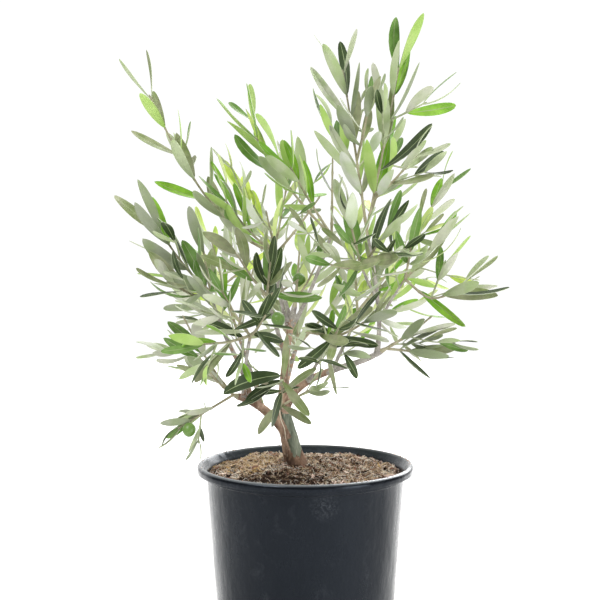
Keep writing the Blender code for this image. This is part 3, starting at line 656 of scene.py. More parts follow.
def worked_out(item):
    """A new mesh of the object with its modifiers applied."""
    depsgraph = bpy.context.evaluated_depsgraph_get()
    return bpy.data.meshes.new_from_object(item.evaluated_get(depsgraph))


def piece(name, mesh, materials, slot, *nodes):
    """Puts a finished mesh in the scene, on the plant's one body."""
    item = placed(name, mesh)
    for material in materials:
        mesh.materials.append(material)
    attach(item, BODY)
    if nodes:
        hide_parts(*nodes)
    return item


def heap_piece(name, heap, sharp_degrees, materials, slot, *nodes):
    """Puts a heap in the scene as one piece."""
    piece(name, heap.mesh(name, sharp_degrees), materials, slot, *nodes)


def wall_radius(height):
    """The pot's outer radius below the lip."""
    share = height / (POT_HEIGHT - LIP_DROP)
    return BASE_RADIUS + (BODY_TOP_RADIUS - BASE_RADIUS) * share


def limb_radius(limb, share):
    """The limb's taper, with a collar or a root flare at its foot."""
    first, last = limb.radii
    radius = (first + (last - first) * share) * MM
    if limb.parent is None:
        return radius + ROOT_FLARE * math.exp(-share / FLARE_SHARE)
    return radius * (1 + COLLAR * math.exp(-share / COLLAR_SHARE))


def skin_radius(limb, share):
    """The radius of the limb's bark: boughs are slimmer past their foot than the solid."""
    if limb.parent is None:
        return limb_radius(limb, share)
    return limb_radius(limb, share) * (1 - (1 - SLIM_BOUGH) * min(share / SLIM_FROM, 1))


def limb_path(limb, paths, finer=1):
    """Points along the limb's centre line, from its foot to its tip."""
    tip = metres(limb.tip)
    if limb.parent is None:
        foot, spans = metres(TRUNK_FOOT), TRUNK_SPANS
    else:
        foot, spans = point_on(paths[limb.parent], limb.at), LIMB_SPANS
    return interpolate_bezier(foot, foot + metres(limb.leave), tip - metres(limb.arrive), tip,
                              spans * finer + 1)


def span_of(path, share):
    """The index of the span that a share of the path falls in, and the rest within it."""
    place = min(max(share, 0.0), 1.0) * (len(path) - 1)
    index = min(int(place), len(path) - 2)
    return index, place - index


def point_on(path, share):
    """The point at a share of the path's spans."""
    index, rest = span_of(path, share)
    return path[index].lerp(path[index + 1], rest)


def way_on(path, share):
    """The direction of the path at a share of its spans."""
    index, _ = span_of(path, share)
    return (path[index + 1] - path[index]).normalized()


def bridged(rings):
    """Faces from each ring of points to the next, where a ring of one point ends in a fan."""
    faces = []
    for low, high in zip(rings, rings[1:]):
        count = max(len(low), len(high))
        for first in range(count):
            onward = (first + 1) % count
            if len(low) == 1:
                faces.append((low[0], high[onward], high[first]))
            elif len(high) == 1:
                faces.append((low[first], low[onward], high[0]))
            else:
                faces.append((low[first], low[onward], high[onward], high[first]))
    return faces


def tube(path, radii, sides):
    """Points and faces of a round tube along a path, closed at both ends."""
    across = way_on(path, 0.0).orthogonal()
    points = []
    for index, (point, radius) in enumerate(zip(path, radii)):
        way = (path[min(index + 1, len(path) - 1)] - path[max(index - 1, 0)]).normalized()
        across = (across - way * across.dot(way)).normalized()
        other = way.cross(across)
        for corner in range(sides):
            angle = math.tau * corner / sides
            points.append(point + radius * (math.cos(angle) * across + math.sin(angle) * other))
    rings = [range(first, first + sides) for first in range(0, len(points), sides)]
    return points, bridged(rings) + [tuple(reversed(rings[0])), tuple(rings[-1])]


def lathe(profile, segments):
    """Points and faces turned round the Z axis from (radius, height) points."""
    points = []
    rings = []
    for radius, height in profile:
        count = segments if radius else 1
        rings.append(range(len(points), len(points) + count))
        points += [around(radius, math.tau * number / segments, height)
                   for number in range(count)]
    return points, [(face[0], *face[:0:-1]) for face in bridged(rings)]


def rounded(path, steps):
    """A smooth curve through the path's points, with this many steps to each span."""
    ends = [path[0] * 2 - path[1], *path, path[-1] * 2 - path[-2]]
    fine = []
    for first, second, third, fourth in zip(ends, ends[1:], ends[2:], ends[3:]):
        for step in range(steps):
            share = step / steps
            fine.append(0.5 * (
                second * 2 + (third - first) * share
                + (first * 2 - second * 5 + third * 4 - fourth) * share ** 2
                + (second * 3 - first - third * 3 + fourth) * share ** 3))
    return fine + [path[-1].copy()]


def tree_of(points, faces):
    """A search tree that tells what a shape would cross."""
    return BVHTree.FromPolygons(points, faces)


def tapered(first, last, count):
    """A list of radii that fall evenly from the first to the last."""
    return [first + (last - first) * index / (count - 1) for index in range(count)]


def length_of(path):
    """The length of a path along its points."""
    return sum((after - before).length for before, after in zip(path, path[1:]))


Leaf = namedtuple("Leaf", "root way face length width curl tint")
Stem = namedtuple("Stem", "path radii shares leaf roll spread tone")


def blade_point(leaf, share, across_share=0.0):
    """A point of the blade, whose midrib is an arc that bends towards its upper face."""
    turn = leaf.curl * share
    along = math.sin(turn) / leaf.curl * leaf.length
    lift = (1 - math.cos(turn)) / leaf.curl * leaf.length
    across = leaf.way.cross(leaf.face)
    middle = leaf.root + leaf.way * along + leaf.face * lift
    return middle + across * across_share * leaf.width / 2


def shoot_path(start, tip, sag):
    """A shoot leaves low and turns up: it hangs below the straight line by its sag."""
    middle = (start + tip) / 2 - Vector((0, 0, 2 * sag * MM))
    spans = max(1, round((tip - start).length / SHOOT_SPAN))
    path = []
    for index in range(spans + 1):
        share = index / spans
        path.append((1 - share) ** 2 * start + 2 * share * (1 - share) * middle
                    + share ** 2 * tip)
    return path


def pair_shares(length, gap, bare):
    """Where a stem's pairs of leaves sit, a gap apart, the last pair at its tip."""
    steps = max(1, round(length * (1 - bare) / gap))
    return [bare + (1 - bare) * number / steps for number in range(steps + 1)]


def pair_roll(stem, number):
    """The roll of a pair of leaves: the tip's own roll, then a quarter turn at each pair."""
    return stem.roll + (len(stem.shares) - 1 - number) * TURN_AT_EACH_PAIR


def main_stems(mass, neck_end):
    """The mass's main shoots as stems, in the order of the table."""
    stems = []
    for item in mass.shoots:
        start = neck_end if item.on is None else point_on(stems[item.on].path, item.at)
        path = shoot_path(start, metres(item.tip), item.sag)
        stems.append(Stem(
            path, tapered(TWIG_RADIUS, TWIG_TIP_RADIUS, len(path)),
            pair_shares(length_of(path), item.gap * MM, item.bare), item.leaf * MM,
            math.radians(item.roll), math.radians(item.spread), item.tone))
    return stems


def outward(way, roll):
    """The direction that points away from a stem at a roll round it; 0 is to the side."""
    depth = Vector((0, 1, 0))
    depth = (depth - way * depth.dot(way)).normalized()
    side = way.cross(depth)
    return side * math.cos(roll) + depth * math.sin(roll)


def leaning(path, share, lean, reach, roll, out=0.0):
    """The foot and tip of a twig that leans away from a place on a path."""
    way = way_on(path, share)
    away = outward(way, roll)
    start = point_on(path, share) + away * out
    return start, start + (way * math.cos(lean) + away * math.sin(lean)) * reach


def side_twigs(stems, rng):
    """Short twigs in the axils of some pairs, by the source's seeded rule."""
    twigs = []
    for stem in stems:
        for number, share in enumerate(stem.shares[:-1]):
            chance = rng.random()
            lean = math.radians(rng.uniform(*SIDE_TWIG_LEAN))
            reach = stem.leaf * rng.uniform(*SIDE_TWIG_REACH)
            side = rng.choice((0.0, math.pi))
            if chance > SIDE_TWIG_CHANCE:
                continue
            ends = leaning(stem.path, share, lean, reach, pair_roll(stem, number) + side)
            path = shoot_path(*ends, SIDE_TWIG_SAG)
            twigs.append(stem._replace(
                path=path, radii=tapered(SIDE_TWIG_RADIUS, TWIG_TIP_RADIUS, len(path)),
                shares=SIDE_TWIG_PAIRS, leaf=stem.leaf * SIDE_TWIG_LEAF))
    return twigs


def leaves_of(stem, rng, tint_rng):
    """Opposite pairs of leaves, each pair turned a quarter from the one below it."""
    leaves = []
    for number, share in enumerate(stem.shares):
        root = point_on(stem.path, share)
        way = way_on(stem.path, share)
        along = number / (len(stem.shares) - 1)
        roll = pair_roll(stem, number) + math.radians(rng.uniform(*ROLL_JITTER))
        open_share = 1 - (1 - SPREAD_LEFT_AT_TIP) * along
        full_length = stem.leaf * (1 - LENGTH_LOST_AT_TIP * along ** 3)
        for side in (0.0, math.pi):
            lean = stem.spread * open_share + math.radians(rng.uniform(*SPREAD_JITTER))
            length = full_length * rng.uniform(*LENGTH_JITTER)
            twist = math.radians(rng.uniform(*TWIST_JITTER))
            curl = math.radians(rng.uniform(*LEAF_CURL))
            away = outward(way, roll + side)
            ahead = (way * math.cos(lean) + away * math.sin(lean)).normalized()
            face = (way - ahead * way.dot(ahead)).normalized()
            face = face * math.cos(twist) + ahead.cross(face) * math.sin(twist)
            foot = root - away * LEAF_FOOT_ACROSS - way * LEAF_FOOT_BACK
            leaves.append(Leaf(foot, ahead, face, length, length * LEAF_WIDTH_SHARE, curl,
                               tint_rng.choice(TONES[stem.tone])))
    return leaves


def blade_strip(leaf):
    """The free part of a blade as a flat strip, to tell what it would cross."""
    points = [blade_point(leaf, LEAF_FREE_SHARE)]
    for share, width in LEAF_SECTIONS:
        points += [blade_point(leaf, share, -width), blade_point(leaf, share, width)]
    points.append(blade_point(leaf, 1.0))
    return tree_of(points, [(0, 1, 2), (1, 3, 4, 2), (3, 5, 4)])


def blade_samples(leaf):
    """Points over a leaf that tell whether it stays in its mass's space."""
    return [blade_point(leaf, 1.0)] + [
        blade_point(leaf, share, across)
        for share, width in SPACE_SAMPLES for across in (-width, 0.0, width)]


def own_space(masses_stems, own):
    """A test of whether points lie nearer the mass's own main stems than any other's."""
    samples = {True: [], False: []}
    for name, stems in masses_stems.items():
        for stem in stems:
            count = math.ceil(length_of(stem.path) / SPACE_STEP)
            samples[name == own] += [point_on(stem.path, index / count)
                                     for index in range(count + 1)]
    own_points, other_points = np.array(samples[True]), np.array(samples[False])

    def nearest(places, points):
        return np.linalg.norm(places[:, None] - points[None], axis=2).min(axis=1)

    def holds(points, margin):
        places = np.array(points)
        return bool((nearest(places, own_points) + margin
                     < nearest(places, other_points)).all())

    return holds


def neck_of(mass, paths):
    """The mass's root: it meets its bough's tip, or the trunk's front."""
    path = paths[mass.limb]
    if mass.limb == "trunk":
        way = Vector(SPROUT_WAY).normalized()
        lean = way.angle(way_on(path, SPROUT_AT))
        inside = limb_radius(LIMB_NAMED["trunk"], SPROUT_AT) + TWIG_RADIUS * math.cos(lean)
        start = point_on(path, SPROUT_AT) + way * (inside / math.sin(lean) + GAP)
        return start, way, TWIG_RADIUS
    way = way_on(path, 1.0)
    return path[-1] + way * GAP, way, LIMB_NAMED[mass.limb].radii[1] * MM


def limbs_tree(paths, more):
    """One search tree over all limbs, each a little larger than it is."""
    heap = Heap()
    for limb in LIMBS:
        path = paths[limb.name]
        last = len(path) - 1
        heap.add(*tube(path, [limb_radius(limb, index / last) + more
                              for index in range(last + 1)], LIMB_TREE_SIDES))
    return tree_of(heap.points, heap.faces)


def fine_draws(rng, reaches, leaves, size):
    """A finer twig's chance, lean, reach, roll, pairs of leaves and their length."""
    return (rng.random(), math.radians(rng.uniform(*FINE_LEAN)), rng.uniform(*reaches) * size,
            rng.uniform(0, math.tau), rng.choice(FINE_PAIRS), rng.uniform(*leaves) * size)


def fine_twigs(stems, fill, rng):
    """Finer twigs, which leave the inner part of a shoot beside or between its leaves."""
    twigs = []
    for stem in stems:
        gap = (stem.shares[1] - stem.shares[0]) / 2
        places = [share + step for share in stem.shares[:-1] for step in (0, gap)]
        for share in [place for place in places if place < FINE_INNER]:
            chance, lean, reach, roll, pairs, leaf = fine_draws(
                rng, FINE_REACH, FINE_LEAF, stem.leaf)
            if chance > fill:
                continue
            path = shoot_path(*leaning(stem.path, share, lean, reach, roll), SIDE_TWIG_SAG)
            twigs.append(stem._replace(
                path=path, radii=tapered(FINE_RADIUS, FINE_TIP_RADIUS, len(path)),
                shares=pairs, leaf=leaf, roll=roll))
    return twigs


def bough_sprigs(mass, paths, rng):
    """Short leafy sprigs that stand straight on the bough below its mass."""
    if mass.limb == "trunk":
        return []
    sprigs = []
    for share in SPRIG_SHARES:
        chance, lean, reach, roll, pairs, leaf = fine_draws(rng, SPRIG_REACH, SPRIG_LEAF, MM)
        if chance > mass.fill:
            continue
        out = limb_radius(LIMB_NAMED[mass.limb], share) * SPRIG_FOOT_OUT
        ends = leaning(paths[mass.limb], share, lean, reach, roll, out)
        sprigs.append(Stem(list(ends), [FINE_RADIUS, FINE_TIP_RADIUS], pairs, leaf, roll,
                           math.radians(SPRIG_SPREAD), mass.shoots[0].tone))
    return sprigs


def in_box(points):
    """Whether all points lie in the box of the source's solids."""
    low, high = cad_box
    return all(low[axis] <= point[axis] <= high[axis] for point in points for axis in range(3))


def olive_place(stem, olive):
    """Where an olive's stalk leaves its stem, and the olive's centre."""
    root = point_on(stem.path, olive.at)
    return root, root + metres(olive.hang)


def open_views(masses_stems):
    """A search tree of the space before each olive and the trunk, which leaves keep out of."""
    middles = [(metres(TRUNK_VIEW), TRUNK_VIEW_HALF)]
    for olive in OLIVES:
        _, centre = olive_place(masses_stems[olive.mass][olive.shoot], olive)
        middles.append((centre, OLIVE_VIEW_HALF))
    heap = Heap()
    for middle, half in middles:
        way = (Vector(CAMERA_PLACE) - middle).normalized()
        heap.add(*tube([middle, middle + way * VIEW_LENGTH], [half] * 2, VIEW_SIDES))
    return tree_of(heap.points, heap.faces)


def sprout_leaves(stem):
    """The leaves of the sprout's table, each bent along an arc from its foot to its tip."""
    leaves = []
    for at, tip, degrees, tint in SPROUT_LEAVES:
        root = point_on(stem.path, at)
        chord = metres(tip) - root
        half = math.radians(degrees) / 2
        along = chord.normalized()
        up = Vector(SPROUT_FACE)
        up = (up - along * up.dot(along)).normalized()
        length = chord.length * half / math.sin(half)
        leaves.append(Leaf(root, along * math.cos(half) - up * math.sin(half),
                           along * math.sin(half) + up * math.cos(half), length,
                           length * SPROUT_LEAF_WIDTH, 2 * half, tint))
    return leaves


def shows_end_on(leaf):
    """Whether the leaf points so straight at the camera that it would show as an egg."""
    half = leaf.curl / 2
    chord = leaf.way * math.cos(half) + leaf.face * math.sin(half)
    return chord.normalized().dot((Vector(CAMERA_PLACE) - leaf.root).normalized()) > END_ON


def turned_clear(leaf, is_free, axis):
    """The leaf turned about its foot, round the axis given, to where it is free."""
    for degrees in VIEW_TURNS:
        turn = Matrix.Rotation(math.radians(degrees), 3, axis)
        turned = leaf._replace(way=turn @ leaf.way, face=turn @ leaf.face)
        if is_free(turned):
            return turned
    return None


def grow(mass, seed, paths, masses_stems, limb_tree, fine_limb_tree, views):
    """A mass's stems and leaves: first the source's own, then the finer ones."""
    rng = random.Random(seed)
    tint_rng = random.Random(100 + seed)
    holds = own_space(masses_stems, mass.name)
    main = masses_stems[mass.name]
    stems = []
    leaves = []
    trees = []
    candidates = []

    def keep(leaf):
        leaves.append(leaf)
        trees.append(blade_strip(leaf))

    def is_clear(leaf, margin, crossed):
        strip = blade_strip(leaf)
        return holds(blade_samples(leaf), margin) and not any(
            tree.overlap(strip) for tree in crossed)

    def is_free(leaf):
        return is_clear(leaf, SPACE_MARGIN, [limb_tree, views, *trees])

    def is_aside(leaf):
        return not shows_end_on(leaf) and is_free(leaf)

    for number, stem in enumerate([*main, *side_twigs(main, rng)]):
        its_leaves = leaves_of(stem, rng, tint_rng)
        tree = tree_of(*tube(stem.path, stem.radii, TREE_SIDES))
        if number < len(main) or (
                holds(stem.path, SPACE_MARGIN) and not limb_tree.overlap(tree)):
            stems.append(stem)
            trees.append(tree)
            candidates += its_leaves
    if mass.limb == "trunk":
        for leaf in sprout_leaves(main[0]):
            keep(leaf)
    hiding = []
    pointing = []
    for leaf in candidates:
        if not is_clear(leaf, SPACE_MARGIN, [limb_tree, *trees]):
            continue
        if views.overlap(blade_strip(leaf)):
            hiding.append(leaf)
        elif shows_end_on(leaf):
            pointing.append(leaf)
        else:
            keep(leaf)
    for waiting, suits, axis in ((hiding, is_free, "Y"), (pointing, is_aside, "Z")):
        for leaf in waiting:
            turned = turned_clear(leaf, suits, axis)
            if turned:
                keep(turned)

    def fits(leaf, beside):
        return in_box(blade_samples(leaf)) and is_clear(
            leaf, FINE_MARGIN, [fine_limb_tree, views, *trees, *beside])

    fine_rng = random.Random(200 + seed)
    finer = fine_twigs(main, mass.fill, fine_rng) + bough_sprigs(mass, paths, fine_rng)
    for stem in finer:
        its_leaves = leaves_of(stem, fine_rng, tint_rng)
        outer = tree_of(*tube([point_on(stem.path, FINE_FREE_FROM), stem.path[-1]],
                              [FINE_RADIUS, FINE_TIP_RADIUS], TREE_SIDES))
        if not holds(stem.path[1:], FINE_MARGIN) or any(
                tree.overlap(outer) for tree in [fine_limb_tree, *trees]):
            continue
        beside = []
        for leaf in its_leaves:
            if shows_end_on(leaf):
                leaf = turned_clear(
                    leaf, lambda one: not shows_end_on(one) and fits(one, beside), "Z")
            if leaf and fits(leaf, beside):
                beside.append(blade_strip(leaf))
                leaves.append(leaf)
        if beside:
            trees += [tree_of(*tube(stem.path, stem.radii, TREE_SIDES)), *beside]
            stems.append(stem)
    return stems, leaves


# A blade's stations along its length, and its points across, upper side then underside
STATIONS = (0.05, 0.09, 0.16, 0.27, 0.40, 0.54, 0.68, 0.80, 0.90, 0.965)
UPPER = (-1.0, -0.55, -0.055, 0.055, 0.55, 1.0)
UNDER = (1.0, 0.12, -0.12, -1.0)
STALK_HALF = 0.6 * MM
STALK_SHARE = 0.07
EDGE_THICK = 0.42 * MM
RIB_THICK = 0.95 * MM
RIB_THINNING = 0.6
BELLY = (0.50, 0.66)
BLADE_RISE = 0.86
BLADE_FALL = 0.72
FOLD = (0.16, 0.54)
FOLD_POWER = 1.3
MARGIN_DROOP = 0.16
BLADE_TWIST = (-46, 46)
SWAY = (-0.07, 0.07)
TIP_BEND = (-0.11, 0.05)
CURL_MORE = (1.0, 1.0, 1.0, 1.3, 1.7)
WIDTH_JITTER = (0.66, 1.08)
TINT_ORDER = list(LEAF_TINTS)
RIB_FINISH = 2 * len(TINT_ORDER)
MARGIN_AND_RIM_LIGHT_FINISH = RIB_FINISH + 1
LEAF_SHARP = 40
TWIG_SHARP = 50
SMALL_SHARP = 60


def outline(share, belly):
    """The blade's half width as a share of its greatest, which is at its belly."""
    fall = min(BLADE_RISE * (1 - belly) / belly, BLADE_FALL)
    return (share / belly) ** BLADE_RISE * ((1 - share) / (1 - belly)) ** fall


def blade(leaf, rng):
    """Points, faces and finishes of one leaf: a folded, slightly twisted closed blade."""
    belly = rng.uniform(*BELLY)
    fold = rng.uniform(*FOLD)
    twist = math.radians(rng.uniform(*BLADE_TWIST))
    sway = rng.uniform(*SWAY) * leaf.length
    width = leaf.width * rng.uniform(*WIDTH_JITTER)
    bend = rng.uniform(*TIP_BEND) * leaf.length
    leaf = leaf._replace(curl=leaf.curl * rng.choice(CURL_MORE))
    side = leaf.way.cross(leaf.face)

    def midrib(share):
        turn = leaf.curl * share
        upward = leaf.face * math.cos(turn) - leaf.way * math.sin(turn)
        middle = blade_point(leaf, share) + side * sway * share ** 2
        return middle + upward * bend * share ** 3, upward

    points = [leaf.root]
    for share in STATIONS:
        middle, upward = midrib(share)
        roll = twist * share
        across = side * math.cos(roll) + upward * math.sin(roll)
        upward = upward * math.cos(roll) - side * math.sin(roll)
        full = width / 2 * outline(share, belly)
        half = STALK_HALF if share < STALK_SHARE else max(full, STALK_HALF)
        for number, place in enumerate(UPPER + UNDER):
            lift = (fold * abs(place) ** FOLD_POWER - MARGIN_DROOP * place ** 4) * half
            if number >= len(UPPER):
                thin = RIB_THICK * (1 - RIB_THINNING * share)
                lift -= EDGE_THICK if abs(place) == 1 else thin
            points.append(middle + across * place * half + upward * lift)
    tip, _ = midrib(1.0)
    points.append(tip)

    upper = TINT_ORDER.index(leaf.tint)
    under = len(TINT_ORDER) + upper
    round_blade = [upper, upper, RIB_FINISH, upper, upper, MARGIN_AND_RIM_LIGHT_FINISH, under, under, under,
                   MARGIN_AND_RIM_LIGHT_FINISH]
    ring = len(round_blade)
    last = len(points) - 1
    rings = [[0], *[range(first, first + ring) for first in range(1, last, ring)], [last]]
    return points, bridged(rings), round_blade * (len(rings) - 1)


NODE_SWELLING = 0.38
NODE_REACH = 1.7 * MM
TIP_BUD = 3.2 * MM
BUD_SECTIONS = ((0.5, 0.9), (1.0, 0.3))
TWIG_SIDES = 8
TWIG_STEP = 2.6 * MM


def twig(stem):
    """Points and faces of a twig, swollen at each pair of leaves, with a bud at its tip."""
    length = length_of(stem.path)
    path = rounded(stem.path, max(3, round(length / TWIG_STEP / (len(stem.path) - 1))))
    last = len(path) - 1
    radii = tapered(stem.radii[0], stem.radii[-1], len(path))
    for index in range(last + 1):
        for pair in stem.shares:
            away = (index / last - pair) * length
            radii[index] *= 1 + NODE_SWELLING * math.exp(-(away / NODE_REACH) ** 2)
    tip, way = path[-1], way_on(path, 1.0)
    for along, thickness in BUD_SECTIONS:
        path.append(tip + way * TIP_BUD * along)
        radii.append(stem.radii[-1] * thickness)
    return tube(path, radii, TWIG_SIDES)


OLIVE_RINGS = 14
OLIVE_SIDES = 24
OLIVE_TAPER = 0.06
OLIVE_END_RADIUS = 0.12 * MM
OLIVE_DENT = 0.5 * MM
OLIVE_POINT = 0.45 * MM
STALK_BEND = 1.2 * MM
STALK_IN = 0.6 * MM
STALK_SWELLING = 1.5
STALK_STEPS = 4


def olive_fruit(stem, olive):
    """An olive with a blunt point, and the curved stalk that it hangs by."""
    root, centre = olive_place(stem, olive)
    hang = Vector(olive.hang).normalized()
    path = []
    radii = []
    for index in range(OLIVE_RINGS + 1):
        angle = math.pi * index / OLIVE_RINGS
        along = -math.cos(angle)
        path.append(centre + hang * along * OLIVE_LENGTH / 2)
        bulge = math.sin(angle) * (1 - OLIVE_TAPER * along)
        radii.append(max(OLIVE_WIDTH / 2 * bulge, OLIVE_END_RADIUS))
    path[0] += hang * OLIVE_DENT
    path[-1] += hang * OLIVE_POINT
    top = centre - hang * OLIVE_LENGTH / 2
    bend = (root + top) / 2 + hang.orthogonal() * STALK_BEND
    stalk = rounded([root, bend, top + hang * STALK_IN], STALK_STEPS)
    stalk_radii = tapered(OLIVE_STALK_RADIUS, OLIVE_STALK_RADIUS * STALK_SWELLING, len(stalk))
    return tube(path, radii, OLIVE_SIDES), tube(stalk, stalk_radii, TWIG_SIDES)


NECK_IN = 1.2 * MM
NECK_STEPS = 4
NECK_SIDES = 12


def mass_pieces(mass, stems, leaves, neck, leaf_finishes, twig_finishes):
    """One piece of leaves and one of twigs for each mass of the source."""
    rng = random.Random("blades of " + mass.name)
    blades = Heap()
    for leaf in leaves:
        blades.add(*blade(leaf, rng))
    heap_piece("leaves_of_" + mass.name, blades, LEAF_SHARP, leaf_finishes, "olive_leaf",
               mass.name)
    start, way, radius = neck
    path = rounded([start + way * along for along in (-NECK_IN, NECK / 2, NECK)], NECK_STEPS)
    wood = Heap(*tube(path, tapered(radius * SLIM_BOUGH, TWIG_RADIUS, len(path)), NECK_SIDES))
    for number, stem in enumerate(stems):
        wood.add(*twig(stem), finishes=int(number >= len(mass.shoots)))
    heap_piece("twigs_of_" + mass.name, wood, TWIG_SHARP, twig_finishes, "olive_bark")


BARK_FOOT = SOIL_TOP - 4 * MM
BARK_SOFTENING = 0.5
TRUNK_CRACKS = 0.55 * MM
BOUGH_CRACKS = 0.16 * MM
CRACK_SIZE = 3.2
CRACK_MIDDLE = 0.9
CRACK_DRAWN = 0.72
CRACKS_FULL_FROM = 2.4 * MM
MOST_CRACKS = 1.6
LUMP_SIZE = 11
TRUNK_LUMPS = 0.075
BOUGH_LUMPS = 0.055
GROOVE = ((-25, 252), (-16, 216))
GROOVE_DEPTH = 1.5 * MM
GROOVE_HALF = 1.3 * MM
GROOVE_FOOT = 208 * MM
GROOVE_FADE = 14 * MM
GROOVE_WAVER = 0.6
GROOVE_WAVES = 0.3
FACES_FRONT = 0.2
SCAR = (-28, -1, 257)
SCAR_HALF = 2.8 * MM
# The pale line along the groove's left edge: partly torn bark, partly a painted highlight
PALE_LINE_TOP = 255
PALE_LINE_FOOT = 224
PALE_LINE_STEPS = 24
PALE_LINE_LEFT = 0.9 * MM
PALE_LINE_OUT = 0.1 * MM
PALE_LINE_RADII = (0.72 * MM, 0.3 * MM)
PALE_LINE_SIDES = 8
PALE_LINE_SEEN_FROM = -0.2

# Which bark is which, in the order of their finishes
FOOT_BARK, GREEN_BARK, RED_BARK, GREY_BARK, BARE_WOOD_AND_HIGHLIGHT = range(5)
FOOT_BARK_TOP = 211 * MM
GREEN_BARK_FACES = 0.75
GREY_BARK_RIGHT = 22 * MM
GREY_BARK_HEIGHT = 345 * MM
RED_BARK_THICK = 5 * MM
TRUNK_DRAWN = 0.3

# Lumps that fray the border of two barks: their size, and how far they shift it
BARK_FRAY = ((5, 4), (1.6, 1.8))


def bark_piece(paths, finishes):
    """Trunk and boughs as one skin with the bark's relief, grown into each other."""
    heap = Heap()
    middles = []
    samples = []
    for limb in LIMBS:
        path = limb_path(limb, paths, FINER)
        last = len(path) - 1
        radii = [skin_radius(limb, index / last) for index in range(last + 1)]
        on_trunk = limb.parent is None
        heap.add(*tube(path, radii, TRUNK_SIDES if on_trunk else BOUGH_SIDES))
        middles += path
        samples += [(way_on(path, index / last), radius, on_trunk)
                    for index, radius in enumerate(radii)]
    item = placed("bark_raw", heap.mesh("bark_raw", 180))
    remesh = item.modifiers.new("Skin", "REMESH")
    remesh.mode = "VOXEL"
    remesh.voxel_size = BARK_VOXEL
    smooth = item.modifiers.new("Soften", "SMOOTH")
    smooth.iterations = BARK_SMOOTHING
    smooth.factor = BARK_SOFTENING
    mesh = worked_out(item)
    bpy.data.objects.remove(item, do_unlink=True)
    mesh.materials.clear()
    mesh.name = "bark"
    work = bmesh.new()
    work.from_mesh(mesh)
    cut = bmesh.ops.bisect_plane(
        work, geom=work.verts[:] + work.edges[:] + work.faces[:],
        plane_co=(0, 0, BARK_FOOT), plane_no=(0, 0, 1), clear_inner=True)
    edges = [part for part in cut["geom_cut"] if isinstance(part, bmesh.types.BMEdge)]
    bmesh.ops.holes_fill(work, edges=edges, sides=0)
    search = KDTree(len(middles))
    for index, point in enumerate(middles):
        search.insert(point, index)
    search.balance()

    def limb_at(place):
        _, index, _ = search.find(place)
        return samples[index]

    work.normal_update()
    moved = [bark_relief(vert, *limb_at(vert.co)) for vert in work.verts]
    for vert, place in zip(work.verts, moved):
        vert.co = place
    work.normal_update()
    for face in work.faces:
        place = face.calc_center_median()
        face.material_index = bark_finish(face, place, *limb_at(place))
        face.smooth = True
    skin = BVHTree.FromBMesh(work)
    work.to_mesh(mesh)
    work.free()
    piece("bark_of_trunk_and_boughs", mesh, finishes, "olive_bark",
          *[limb.name for limb in LIMBS])
    # The pale line along the groove, in the bare wood's finish: partly torn bark, partly a
    # painted highlight
    heap_piece("bark_tear", Heap(*bark_tear(skin)), SMALL_SHARP, [finishes[BARE_WOOD_AND_HIGHLIGHT]],
               "olive_bark")


def groove_distance(place):
    """How far a point on the trunk's front is to the right of its long groove."""
    (top_x, top_z), (foot_x, foot_z) = GROOVE
    share = (place.z / MM - foot_z) / (top_z - foot_z)
    waver = GROOVE_WAVER * math.sin(place.z / MM * GROOVE_WAVES)
    return place.x - (foot_x + (top_x - foot_x) * share + waver) * MM


def bark_tear(skin):
    """Points and faces of the thin pale line along the groove: partly the edge of torn bark,
    partly a painted highlight on the groove's edge.
    """
    path = []
    for height in tapered(PALE_LINE_TOP, PALE_LINE_FOOT, PALE_LINE_STEPS + 1):
        left = -groove_distance(metres((0, 0, height))) - PALE_LINE_LEFT
        front, _, _, _ = skin.ray_cast(
            Vector((left, PALE_LINE_SEEN_FROM, height * MM)), Vector((0, 1, 0)))
        path.append(front - Vector((0, PALE_LINE_OUT, 0)))
    return tube(path, tapered(*PALE_LINE_RADII, len(path)), PALE_LINE_SIDES)


def bark_relief(vert, way, radius, on_trunk):
    """Where a point of the bark goes: cracks along the limb, and lumps across it."""
    place = vert.co
    squeezed = place - way * place.dot(way) * CRACK_DRAWN
    cracks = noise.turbulence(squeezed / (CRACK_SIZE * MM), 3, False) - CRACK_MIDDLE
    lumps = lump(place, LUMP_SIZE) * radius
    if not on_trunk:
        depth = BOUGH_CRACKS * min(radius / CRACKS_FULL_FROM, MOST_CRACKS)
        return place + vert.normal * (lumps * BOUGH_LUMPS - depth * cracks)
    shift = lumps * TRUNK_LUMPS - TRUNK_CRACKS * cracks
    if vert.normal.y < FACES_FRONT:
        share = min(max((place.z - GROOVE_FOOT) / GROOVE_FADE, 0), 1)
        away = groove_distance(place)
        shift -= GROOVE_DEPTH * share * math.exp(-(away / GROOVE_HALF) ** 2)
    return place + vert.normal * shift


def bark_finish(face, place, _, radius, on_trunk):
    """The bark of a place: red at the foot and left, smooth and green on the right of the
    trunk, red-brown round the fork, and grey-brown further out."""
    drawn = Vector((place.x, place.y, place.z * (TRUNK_DRAWN if on_trunk else 1)))
    fray = sum(lump(drawn, size) * height * MM for size, height in BARK_FRAY)
    if (place - metres(SCAR)).length + 0.6 * fray < SCAR_HALF:
        return BARE_WOOD_AND_HIGHLIGHT
    if on_trunk:
        if place.z + 1.6 * fray < FOOT_BARK_TOP:
            return FOOT_BARK
        is_right = groove_distance(place) + 0.5 * fray > 0
        return GREEN_BARK if is_right and face.normal.y < GREEN_BARK_FACES else RED_BARK
    if place.x + fray > GREY_BARK_RIGHT or place.z + 3 * fray > GREY_BARK_HEIGHT:
        return GREY_BARK
    return RED_BARK if radius * 2 + fray * 0.8 > RED_BARK_THICK else GREY_BARK


